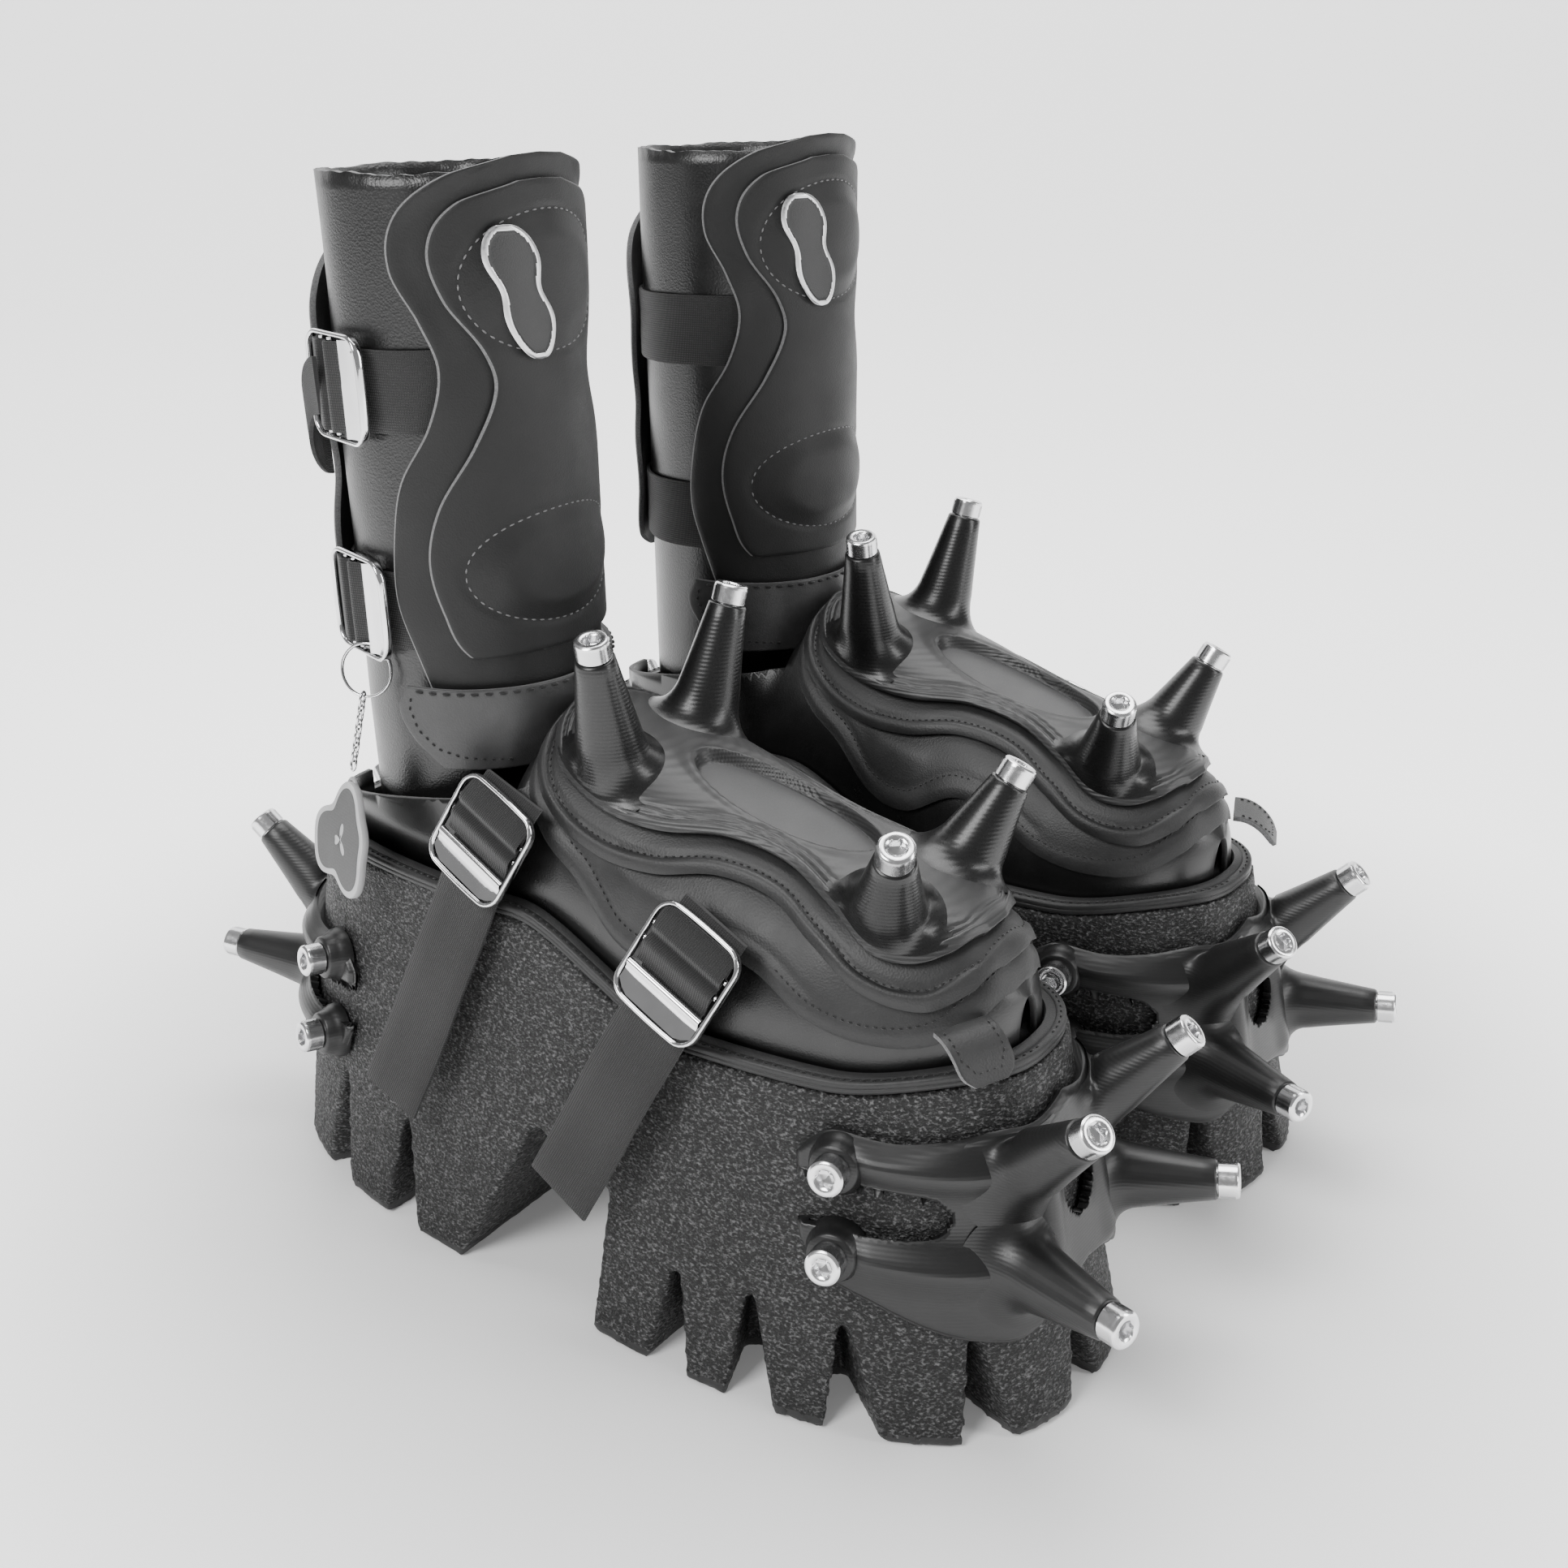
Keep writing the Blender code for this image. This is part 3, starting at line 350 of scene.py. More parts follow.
def satin_print(name, tone, rough, lines=0.35, pitch=0.55):
    """Smooth printed plastic: faint horizontal layer lines and a satin skin."""
    m, t, b = shader(name)
    place = node(t, "ShaderNodeTexCoord").outputs["Object"]
    layers = texture(t, "ShaderNodeTexWave", place, 1000 / pitch / 20.0 * pi, wave_type='BANDS',
                     bands_direction='Z', wave_profile='SIN')
    layers.inputs["Distortion"].default_value = 0.4
    fine = texture(t, "ShaderNodeTexNoise", place, 1800, Detail=3.0)
    slow = texture(t, "ShaderNodeTexNoise", place, 40, Detail=3.0)
    tint(t, b, slow.outputs[0], ((0.3, tone * 0.85), (0.7, tone * 1.15)))
    tint(t, b, fine.outputs[0], ((0.3, rough * 0.88), (0.7, rough * 1.15)), "Roughness")
    bump(t, ((layers.outputs["Fac"], lines, 0.10), (fine.outputs[0], 0.35, 0.03)), b)
    return m


def woven(name, tone):
    """Polyester webbing: ribs along its length crossed by picks, from the piece's own UV in mm."""
    m, t, b = shader(name)
    uv = node(t, "ShaderNodeTexCoord").outputs["UV"]
    ribs = texture(t, "ShaderNodeTexWave", uv, 0.5, wave_type='BANDS', bands_direction='X')
    picks = texture(t, "ShaderNodeTexWave", uv, 0.33, wave_type='BANDS', bands_direction='Y')
    ribs.inputs["Distortion"].default_value = 1.0
    picks.inputs["Distortion"].default_value = 1.2
    fluff = texture(t, "ShaderNodeTexNoise", uv, 1.6, Detail=4.0, Roughness=0.75)
    mix = node(t, "ShaderNodeMath", operation='MULTIPLY')
    link(t, ribs.outputs[1], mix.inputs[0])
    link(t, picks.outputs[1], mix.inputs[1])
    tint(t, b, fluff.outputs[0], ((0.3, tone * 0.5), (0.55, tone), (0.75, tone * 2.2)))
    b.inputs["Roughness"].default_value = 0.82
    b.inputs["Sheen Weight"].default_value = 0.2
    bump(t, ((mix.outputs[0], 0.7, 0.3), (fluff.outputs[0], 0.4, 0.15)), b)
    return m


def metal(name, tone, rough, scratch=0.15):
    m, t, b = shader(name)
    place = node(t, "ShaderNodeTexCoord").outputs["Object"]
    fine = texture(t, "ShaderNodeTexNoise", place, 900, Detail=3.0)
    slow = texture(t, "ShaderNodeTexNoise", place, 90, Detail=2.0)
    b.inputs["Metallic"].default_value = 1.0
    tint(t, b, slow.outputs[0], ((0.3, tone * 0.92), (0.7, tone * 1.04)))
    tint(t, b, fine.outputs[0], ((0.3, rough * 0.8), (0.7, rough * 1.3)), "Roughness")
    bump(t, ((slow.outputs[0], scratch, 0.12),), b)
    return m


FINISH = {}


def make_finishes(kit):
    tone = kit.leather_tone
    FINISH.update({
        "toe_leather": leather("polished_leather", tone, 0.30, 0.7, 0.30, spec=0.55),
        "vamp_leather": leather("vamp_leather", tone * 3.6, 0.48, 0.8, 0.6, 0.05, 0.42),
        "tube_leather": leather("shaft_leather", tone * 1.25, 0.33, 0.9, 0.8, spec=0.6),
        "matt_leather": leather("shin_leather", tone * 1.05, 0.56, 0.7, 0.7, 0.12, 0.4),
        "cuff_leather": leather("cuff_leather", tone * 7.0, 0.42, 0.7, 0.5, 0.05),
        "raw_edge": fibre("cut_leather_edge", 0.13),
        "dark_edge": fibre("dyed_leather_edge", 0.035, 0.7),
        "platform": fuzzy_print("fuzzy_print_skin", 0.0035, kit.flake_tone),
        "tread": satin_print("outsole_layer", 0.02, 0.5, 0.3, 0.6),
        "plate": satin_print("satin_print_skin", 0.010, 0.38, 0.22, 0.6),
        "instep": satin_print("instep_print_skin", 0.024, 0.42, 0.8, 0.75),
        "cone": satin_print("cone_print_skin", 0.007, 0.30, 0.25, 0.75),
        "floor": satin_print("window_floor_skin", 0.06, 0.5, 0.05, 0.75),
        "webbing": woven("webbing_weave", 0.010),
        "chrome": metal("polished_chrome", 0.80, 0.07),
        "screw": metal("plated_steel", 0.78, 0.2, 0.25),
        "thread": fibre("dark_thread", 0.0015, 0.8),
        "pale_thread": fibre("grey_thread", 0.14, 0.6),
        "footbed": fibre("footbed_cloth", 0.03),
        "badge_rim": metal("badge_pale_rim", 0.62, 0.32, 0.3),
        "badge_field": leather("badge_field", 0.02, 0.45, 0.6, 0.6),
        "charm_pale": satin_print("charm_pale_rim", 0.42, 0.4, 0.1, 0.6),
        "charm_dark": satin_print("charm_dark_field", 0.05, 0.45, 0.1, 0.6),
    })


# ------------------------------------------------------------------ modelling helpers
def grid(bm, nx, ny, place, uv_of=None, lip=False):
    """Mapped grid: place(fx, fy) gives each corner, fractions run 0 to 1; lip marks the outer columns."""
    verts = bmesh.ops.create_grid(bm, x_segments=nx, y_segments=ny, size=1.0)["verts"]
    if lip:
        for f in {f for v in verts for f in v.link_faces}:
            if abs(f.calc_center_median().x) > 1 - 2.0 / nx:
                f.material_index = 1
    frac = {v: ((v.co.x + 1) / 2, (v.co.y + 1) / 2) for v in verts}
    if uv_of:
        layer = bm.loops.layers.uv.verify()
        for f in {f for v in verts for f in v.link_faces}:
            for loop in f.loops:
                loop[layer].uv = uv_of(*frac[loop.vert])
    for v in verts:
        v.co = place(*frac[v])
    return verts


def face_out(bm, verts, outward):
    """Turn the faces over if they look inward: outward(point) is the true outside there."""
    faces = {f for v in verts for f in v.link_faces}
    for f in faces:
        f.normal_update()
    total = sum(f.normal.dot(outward(f.calc_center_median())) * f.calc_area() for f in faces)
    if total < 0:
        bmesh.ops.reverse_faces(bm, faces=list(faces))


def fill_holes(bm, verts):
    edges = list({e for v in verts if v.is_valid for e in v.link_edges if e.is_boundary})
    if edges:
        bmesh.ops.holes_fill(bm, edges=edges, sides=0)


def skin(bm, stack, caps=True, closed=False, mat=0):
    """Loft through rings of one point count; closed joins the last ring to the first."""
    before = set(bm.verts)
    n, m = len(stack[0]), len(stack)
    rows = m if closed else m - 1
    verts = grid(bm, n, rows, lambda fx, fy: stack[round(fy * rows) % m][round(fx * n) % n])
    bmesh.ops.remove_doubles(bm, verts=verts, dist=1e-4)
    mine = [v for v in bm.verts if v not in before]
    if caps and not closed:
        fill_holes(bm, mine)
    faces = list({f for v in mine for f in v.link_faces})
    bmesh.ops.recalc_face_normals(bm, faces=faces)
    for f in faces:
        f.material_index = mat
    return mine


def axes(axis):
    z = Vector(axis).normalized()
    x = (UP if abs(z.z) < 0.9 else Vector((0, 1, 0))).cross(z).normalized()
    return x, z.cross(x), z


def turn(bm, base, axis, profile, sides, mat=0, radius_of=None):
    """Turned piece along an axis; radius_of(ring, angle, radius) may shape a ring."""
    x, y, z = axes(axis)
    stack = []
    for k, (r, h) in enumerate(profile):
        ring = []
        for i in range(sides):
            a = 2 * pi * i / sides
            q = radius_of(k, i, a, r) if radius_of else r
            ring.append(Vector(base) + z * h + x * (q * cos(a)) + y * (q * sin(a)))
        stack.append(ring)
    return skin(bm, stack, mat=mat)


def rod(bm, pts, radius, sides=8, mat=0, normal=None, flat=1.0):
    """Round or oval bar along a path."""
    stack = []
    for i, p in enumerate(pts):
        d = (pts[min(i + 1, len(pts) - 1)] - pts[max(i - 1, 0)]).normalized()
        n = normal if normal else axes(d)[0]
        n = (n - d * n.dot(d)).normalized()
        w = d.cross(n)
        stack.append([p + n * (radius * flat * cos(2 * pi * k / sides)) + w * (radius * sin(2 * pi * k / sides))
                      for k in range(sides)])
    return skin(bm, stack, mat=mat)


def hoop(bm, pts, normal, half_w, half_h, sides=10, mat=0, power=1.0):
    """Closed rail round a loop lying across normal, rounded-oblong section."""
    m = len(pts)
    stack = []
    for i, p in enumerate(pts):
        d = (pts[(i + 1) % m] - pts[i - 1]).normalized()
        o = d.cross(normal).normalized()
        ring = []
        for k in range(sides):
            a = 2 * pi * (k + 0.5) / sides
            c, s = cos(a), sin(a)
            ring.append(p + o * (half_w * (1 if c > 0 else -1) * abs(c) ** power)
                        + normal * (half_h * (1 if s > 0 else -1) * abs(s) ** power))
        stack.append(ring)
    return skin(bm, stack, closed=True, mat=mat)


def edge_room(pairs, s, t):
    """Rough distance in millimetres from (s, t) to the outline."""
    half = curve(pairs, t)
    ends = min(t - pairs[0][0], pairs[-1][0] - t)
    lean = (curve(pairs, t + 1.5) - curve(pairs, t - 1.5)) / 3.0
    return max(0.0, min((half - abs(s)) / sqrt(1 + min(4.0, lean * lean)), ends))


def rounded(pairs, tip=2.0):
    """Outline with its ends drawn to a round point."""
    (a, va), (b, vb) = pairs[0], pairs[-1]
    return ((a - tip, 0.6), (a - tip * 0.7, va * 0.72)) + tuple(pairs) + ((b + tip * 0.7, vb * 0.72), (b + tip, 0.6))


def panel(surface, pairs, nx, ny, off, outward, mid=None, lip=0.0):
    """Sheet bounded by a half-width curve, at off(s, t) from its surface; lip is a skived border."""
    t0, t1 = pairs[0][0], pairs[-1][0]

    def st(fx, fy):
        t = lerp(t0, t1, (1 - cos(pi * fy)) / 2 * 0.6 + fy * 0.4)
        half = curve(pairs, t)
        g = fx * 2 - 1
        if lip and abs(g) < 1:
            g = g / (1 - 2.0 / nx) * (1 - min(0.5, lip / max(half, 0.01)))
        return (mid(t) if mid else 0.0) + half * g, t

    def place(fx, fy):
        s, t = st(fx, fy)
        drop = 0.55 if lip and fx in (0.0, 1.0) else 0.0
        return surface(s, t, off(s, t) - drop)
    bm = bmesh.new()
    face_out(bm, grid(bm, nx, ny, place, lip=lip > 0), outward)
    return bm


def stitches(bm, surface, path, off, length=2.2, gap=1.5, radius=0.42, mat=0):
    """Row of short thread loops lying along a path of (s, t) points."""
    pts = []
    for (s0, t0), (s1, t1) in zip(path, path[1:]):
        for k in range(4):
            pts.append((lerp(s0, s1, k / 4), lerp(t0, t1, k / 4)))
    pts.append(path[-1])
    place = [surface(s, t, off) for s, t in pts]
    up = [(surface(s, t, off + 2) - p).normalized() for (s, t), p in zip(pts, place)]
    run = [0.0]
    for a, b in zip(place, place[1:]):
        run.append(run[-1] + (b - a).length)
    at, k = gap, 0
    while at + length < run[-1]:
        want = at + length / 2
        while k + 1 < len(run) - 1 and run[k + 1] < want:
            k += 1
        f = (want - run[k]) / max(1e-6, run[k + 1] - run[k])
        p = place[k].lerp(place[k + 1], f)
        d = (place[k + 1] - place[k]).normalized()
        n = up[k]
        w = d.cross(n).normalized()
        n = w.cross(d)
        m = Matrix((d * (length / 2), w * radius, n * radius)).transposed().to_4x4()
        m.translation = p
        made = bmesh.ops.create_uvsphere(bm, u_segments=6, v_segments=4, radius=1.0, matrix=m)["verts"]
        for face in {q for v in made for q in v.link_faces}:
            face.material_index = mat
        at += length + gap


def outline(pairs, inset, steps=70, lo=None, hi=None, both=True):
    """Path of (s, t) running inside an outline at an inset, one side or right round."""
    t0, t1 = pairs[0][0] + inset, pairs[-1][0] - inset
    t0, t1 = max(t0, lo) if lo is not None else t0, min(t1, hi) if hi is not None else t1
    side = []
    for k in range(steps + 1):
        t = lerp(t0, t1, (1 - cos(pi * k / steps)) / 2)
        lean = (curve(pairs, t + 2) - curve(pairs, t - 2)) / 4
        side.append((max(0.0, curve(pairs, t) - inset * sqrt(1 + min(9.0, lean * lean))), t))
    if not both:
        return side
    return [(-s, t) for s, t in side] + [(s, t) for s, t in reversed(side)] + [(-side[0][0], side[0][1])]


def carve(bm, cutters, kind='DIFFERENCE', voxel=None):
    """Boolean with throwaway solids, then an optional even remesh; returns a new bmesh."""
    def temp(b, name):
        me = bpy.data.meshes.new(name)
        b.to_mesh(me)
        b.free()
        o = bpy.data.objects.new(name, me)
        bpy.context.scene.collection.objects.link(o)
        return o
    ob = temp(bm, "working_solid")
    others = [temp(c, "working_cutter") for c in cutters]
    for o in others:
        m = ob.modifiers.new("cut", 'BOOLEAN')
        m.operation, m.object, m.solver = kind, o, 'EXACT'
    if voxel:
        m = ob.modifiers.new("even", 'REMESH')
        m.mode, m.voxel_size, m.adaptivity = 'VOXEL', voxel, 0.0
    dg = bpy.context.evaluated_depsgraph_get()
    me = bpy.data.meshes.new_from_object(ob.evaluated_get(dg))
    out = bmesh.new()
    out.from_mesh(me)
    for o in [ob] + others:
        data = o.data
        bpy.data.objects.remove(o)
        bpy.data.meshes.remove(data)
    bpy.data.meshes.remove(me)
    return out


def prism(ring, rise):
    bm = bmesh.new()
    skin(bm, [ring, [p + rise for p in ring]])
    return bm


def dress(ob, finishes, thickness, rim, bevel, subdivide):
    for f in finishes:
        ob.data.materials.append(FINISH[f])
    for p in ob.data.polygons:
        p.use_smooth = True
    if thickness:
        m = ob.modifiers.new("thickness", 'SOLIDIFY')
        m.thickness, m.offset = thickness * MM, -1
        m.use_even_offset = False
        m.material_offset_rim = rim
    if bevel:
        m = ob.modifiers.new("softened_edges", 'BEVEL')
        m.width, m.segments, m.limit_method, m.angle_limit = bevel * MM, 2, 'ANGLE', radians(50)
        m.harden_normals = False
    if subdivide:
        m = ob.modifiers.new("smoothing", 'SUBSURF')
        m.levels = m.render_levels = subdivide


def sharp_by_angle(bm, degrees):
    for e in bm.edges:
        if len(e.link_faces) == 2 and e.calc_face_angle(0.0) > radians(degrees):
            e.smooth = False


def finish_object(name, me, body, nodes):
    ob = bpy.data.objects.new(name, me)
    bpy.context.scene.collection.objects.link(ob)
    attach(ob, body)
    if nodes:
        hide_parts(*nodes)
    return ob


def both_boots(name, bm, finishes, body="boot", nodes=(), thickness=0.0, rim=0,
               bevel=0.0, subdivide=0, sharp=50, sides=("right", "left")):
    """Set a piece modelled in boot millimetres into the right boot and its mirror image."""
    if sharp:
        sharp_by_angle(bm, sharp)
    bmesh.ops.transform(bm, matrix=RIGHT @ Matrix.Scale(MM, 4), verts=bm.verts)
    for side in sides:
        me = bpy.data.meshes.new("%s_%s" % (side, name))
        bm.to_mesh(me)
        if side == "left":
            me.transform(FLIP)
            me.flip_normals()
        ob = finish_object("%s_%s" % (side, name), me, "%s_%s" % (side, body),
                           ["%s_%s" % (side, n) for n in nodes])
        dress(ob, finishes, thickness, rim, bevel, subdivide)
    bm.free()


def right_only(name, bm, finishes, body, nodes=(), bevel=0.0, sharp=50):
    if sharp:
        sharp_by_angle(bm, sharp)
    bmesh.ops.transform(bm, matrix=RIGHT @ Matrix.Scale(MM, 4), verts=bm.verts)
    me = bpy.data.meshes.new(name)
    bm.to_mesh(me)
    bm.free()
    ob = finish_object(name, me, body, nodes)
    dress(ob, finishes, 0, 0, bevel, 0)


# ------------------------------------------------------------------ platform
TOE_GAPS = (84, 62, 42, 22, 3, -16, -34, -54, -76)
HEEL_GAPS = (94, 62, 34, 10, -10, -34, -62, -94)


def groove_cutters():
    cutters = []
    for centre, angles, way, top in ((-50, TOE_GAPS, -1, 43), (90, HEEL_GAPS, 1, 52)):
        for deg in angles:
            d = Vector((-sin(radians(deg)), way * cos(radians(deg)), 0))
            side = Vector((-d.y, d.x, 0))
            reach = 0.0
            while reach < 200:
                reach += 1.0
                q = Vector((0, centre, 0)) + d * reach
                if abs(q.x / (89 if q.x < 0 else 78)) ** 2.75 + abs((q.y - 3) / 193.0) ** 2.75 > 1:
                    break
            stack = []
            for r, half, high in ((-30, 6.0, top * 0.80), (14, 11.5, top * 1.22)):
                q = Vector((0, centre, 0)) + d * (reach + r)
                stack.append([q + side * half + UP * -3, q - side * half + UP * -3,
                              q - side * 1.1 + UP * high, q + side * 1.1 + UP * high])
            bm = bmesh.new()
            skin(bm, stack)
            cutters.append(bm)
    arch = [Vector((-120, y, z)) for y, z in ((-23, -2), (49, -2), (15, 68), (-24, 56))]
    cutters.append(prism(arch, Vector((240, 0, 0))))
    bm = bmesh.new()
    over = [[Vector((-140, y, deck(y))), Vector((140, y, deck(y))), Vector((140, y, 230)), Vector((-140, y, 230))]
            for y in range(-230, 231, 5)]
    skin(bm, over)
    cutters.append(bm)
    return cutters


def platform_solid(voxel, fuzz):
    bm = bmesh.new()
    stack = []
    for t in (0.0, 0.015, 0.1, 0.2, 0.3, 0.4, 0.5, 0.6, 0.7, 0.8, 0.9, 1.0, 1.3):
        ring = []
        for i in range(200):
            x, y = wall_xy(2 * pi * i / 200, t)
            k = 0.988 if t == 0 else 1.0
            ring.append(Vector((x * k, y * k, t * deck(y))))
        stack.append(ring)
    skin(bm, stack)
    bm = carve(bm, groove_cutters(), voxel=voxel)
    bmesh.ops.smooth_vert(bm, verts=bm.verts, factor=0.5, use_axis_x=True, use_axis_y=True, use_axis_z=True)
    bm.normal_update()
    moves = []
    for v in bm.verts:
        p = v.co
        d = noise.noise(p * 0.55) * 0.6 + noise.noise(p * 1.15) * 0.7
        moves.append(v.normal * (d * fuzz))
    for v, m in zip(bm.verts, moves):
        v.co += m
        v.co.z = max(0.0, v.co.z)
    return bm


# ------------------------------------------------------------------ printed plates
PLATE_EDGE = rounded(((-142, 9), (-138, 22), (-128, 35), (-113, 40), (-95, 33), (-72, 26), (-48, 29),
                      (-24, 40), (2, 44), (24, 38), (36, 24), (41, 9)), 1.2)
OVER_EDGE = rounded(((-150, 10), (-146, 26), (-134, 43), (-113, 50), (-92, 44), (-72, 37), (-50, 40),
                     (-26, 51), (0, 56), (24, 50), (38, 34), (43, 12)), 1.0)
APRON_EDGE = rounded(((-153, 10), (-149, 27), (-138, 48), (-118, 62), (-96, 66), (-74, 60), (-56, 62),
                      (-34, 78), (-14, 79), (6, 66), (24, 58), (38, 42), (43, 18)), 1.0)
INSTEP_HEADS = ((-26, 6, (-40.6, 0.0, 258.7)), (26, 6, (40.6, 0.0, 258.7)),
                (-25, -113, (-41.5, -127.4, 213.1)), (25, -113, (41.5, -127.4, 213.1)))
INSTEP_NAMES = ("rear_outer", "rear_inner", "front_outer", "front_inner")


def flared_cone(bm, surface, s0, t0, foot_off, skin_off, face, r0, r1, spread, keep_in, mat=0, sides=56,
                rise=0.32):
    """Spike drawn up out of a plate: its foot fillets into the surface all round."""
    foot = surface(s0, t0, foot_off)
    face = Vector(face)
    axis = (face - foot).normalized()
    length = (face - foot).length - HEAD_H
    es = (surface(s0 + 1, t0, foot_off) - surface(s0 - 1, t0, foot_off)) / 2
    et = (surface(s0, t0 + 1, foot_off) - surface(s0, t0 - 1, foot_off)) / 2
    x, y, _ = axes(axis)
    rows = [[] for _ in range(19)]
    for i in range(sides):
        a = 2 * pi * i / sides
        d = x * cos(a) + y * sin(a)
        ds, dt = d.dot(es) / es.length_squared, d.dot(et) / et.length_squared
        k = hypot(ds, dt)
        ds, dt = ds / k, dt / k

        def skin_point(r, off):
            s, t = keep_in(s0 + ds * r / es.length, t0 + dt * r / et.length)
            return surface(s, t, off)
        h2 = length * rise
        r2 = lerp(r0, r1, rise) * 0.97
        p0 = skin_point(r0 + spread, skin_off - 0.5)
        p1 = skin_point(r0 - 1.5, skin_off + 0.3)
        p2 = foot + axis * h2 + d * r2
        for j in range(10):
            f = j / 9
            rows[j].append(p0 * (1 - f) ** 2 + p1 * (2 * f * (1 - f)) + p2 * f * f)
        for j in range(1, 7):
            f = j / 6
            h = lerp(h2, length - 0.7, f)
            rows[9 + j].append(foot + axis * h + d * lerp(r2, r1, f ** 0.95))
        rows[16].append(foot + axis * length + d * (r1 - 0.5))
        rows[17].append(foot + axis * length + d * (HEAD_R - 1.2))
        rows[18].append(foot + axis * (length - 1.0) + d * (HEAD_R - 1.6))
    verts = skin(bm, rows, caps=False, mat=mat)
    fill = list({e for v in verts for e in v.link_edges if e.is_boundary
                 and all((q.co - (foot + axis * (length - 1.0))).length < HEAD_R for q in e.verts)})
    bmesh.ops.holes_fill(bm, edges=fill, sides=0)
    face_out(bm, verts, lambda p: (p - (foot + axis * (p - foot).dot(axis))))
    for f in {f for v in verts for f in v.link_faces}:
        f.material_index = mat
    return foot + axis * length, axis


def cap_screw(bm, seat, axis, mat=0):
    """Socket head with knurled side, rolled rim and hexagon recess, on a narrower neck."""
    sides = 72
    r = HEAD_R
    prof = [(r - 1.3, -1.0), (r - 1.3, 0.35), (r - 0.25, 0.35), (r, 0.7), (r, 1.1), (r, 6.2), (r - 0.05, 6.5),
            (r - 0.15, 7.3), (r - 0.7, 7.9), (r - 1.1, 8.0), (4.2, 8.0), (3.55, 7.75), (3.4, 7.3),
            (3.3, 4.0), (0.4, 3.2)]

    def shape(k, i, a, q):
        if k in (4, 5):
            return q - (0.16 if i % 2 else -0.10)
        if k in (12, 13):
            w = (a % (pi / 3)) - pi / 6
            return HEX_AF / 2 / cos(w) * (q / 3.4)
        return q
    turn(bm, seat, axis, prof, sides, mat, shape)


def instep_parts():
    """Plate with oval window and rim grooves, plus the four spikes; returns seats too."""
    def off(s, t):
        room = edge_room(PLATE_EDGE, s, t)
        fade = smooth(-142, -132, t)
        h = 11.4 - 1.6 * bell(room, 1.2) - fade * (1.3 * bell(room - 4.2, 0.75) + 0.7 * bell(room - 6.6, 0.7))
        q = hypot(s / 17.0, (t + 54) / 39.0)
        h -= 4.7 * smooth(1.03, 0.985, q)
        h += 0.25 * bell(q - 1.06, 0.03)
        if abs(t + 40) < 75:
            h += 0.8 * smooth(2, 14, room) * smooth(75, 40, abs(t + 40)) * smooth(1.05, 1.3, q)
        return h
    bm = panel(vamp, PLATE_EDGE, 110, 230, off, upward)
    for f in bm.faces:
        c = f.calc_center_median()
        if hypot(c.x / 15.6, (c.y + 54) / 37.6) < 1 and c.z < vamp(0, c.y, 8.4).z:
            f.material_index = 1
    seats = []
    spikes = bmesh.new()

    def inside(s, t):
        t = min(40.0, max(-141.0, t))
        lim = curve(PLATE_EDGE, t) - 1.4
        return max(-lim, min(lim, s)), t
    for s0, t0, face in INSTEP_HEADS:
        seats.append(flared_cone(spikes, vamp, s0, t0, 8.0, 11.6, face, 15.5, 7.4, 8.5, inside, 0))
    return bm, spikes, seats


TOP_EDGE = ((0, 116), (18, 112), (34, 113), (52, 110), (70, 108), (90, 109), (98, 105), (104, 99))
LOW_EDGE = ((0, 50), (12, 47), (30, 38), (46, 40), (60, 44), (78, 51), (92, 56), (99, 62), (104, 72))
SIDE = {-1: {"up": (37.1, -200.5, 132.0), "low": (47.0, -218.9, 70.6), "side": (101, 70)},
        1: {"up": (36.5, 212.0, 134.0), "low": (47.0, 234.0, 69.0), "side": (104, 70)}}


PLATE_END = 104                # arc from the boot's centre line to the end of the arms
HOLE_WIDE, HOLE_HIGH, HOLE_Z = 10.0, 13.0, 82
NOTCH_START, NOTCH_Z = 50, 84


def hole_ratio(a, z):
    """1 on the rim of the central oval hole, less inside it."""
    return hypot(a / HOLE_WIDE, (z - HOLE_Z) / HOLE_HIGH)


def notch_half(a):
    return curve(((50, 0.6), (53, 5.0), (58, 7.4), (70, 8.5), (90, 9.0), (104, 9.8)), a)


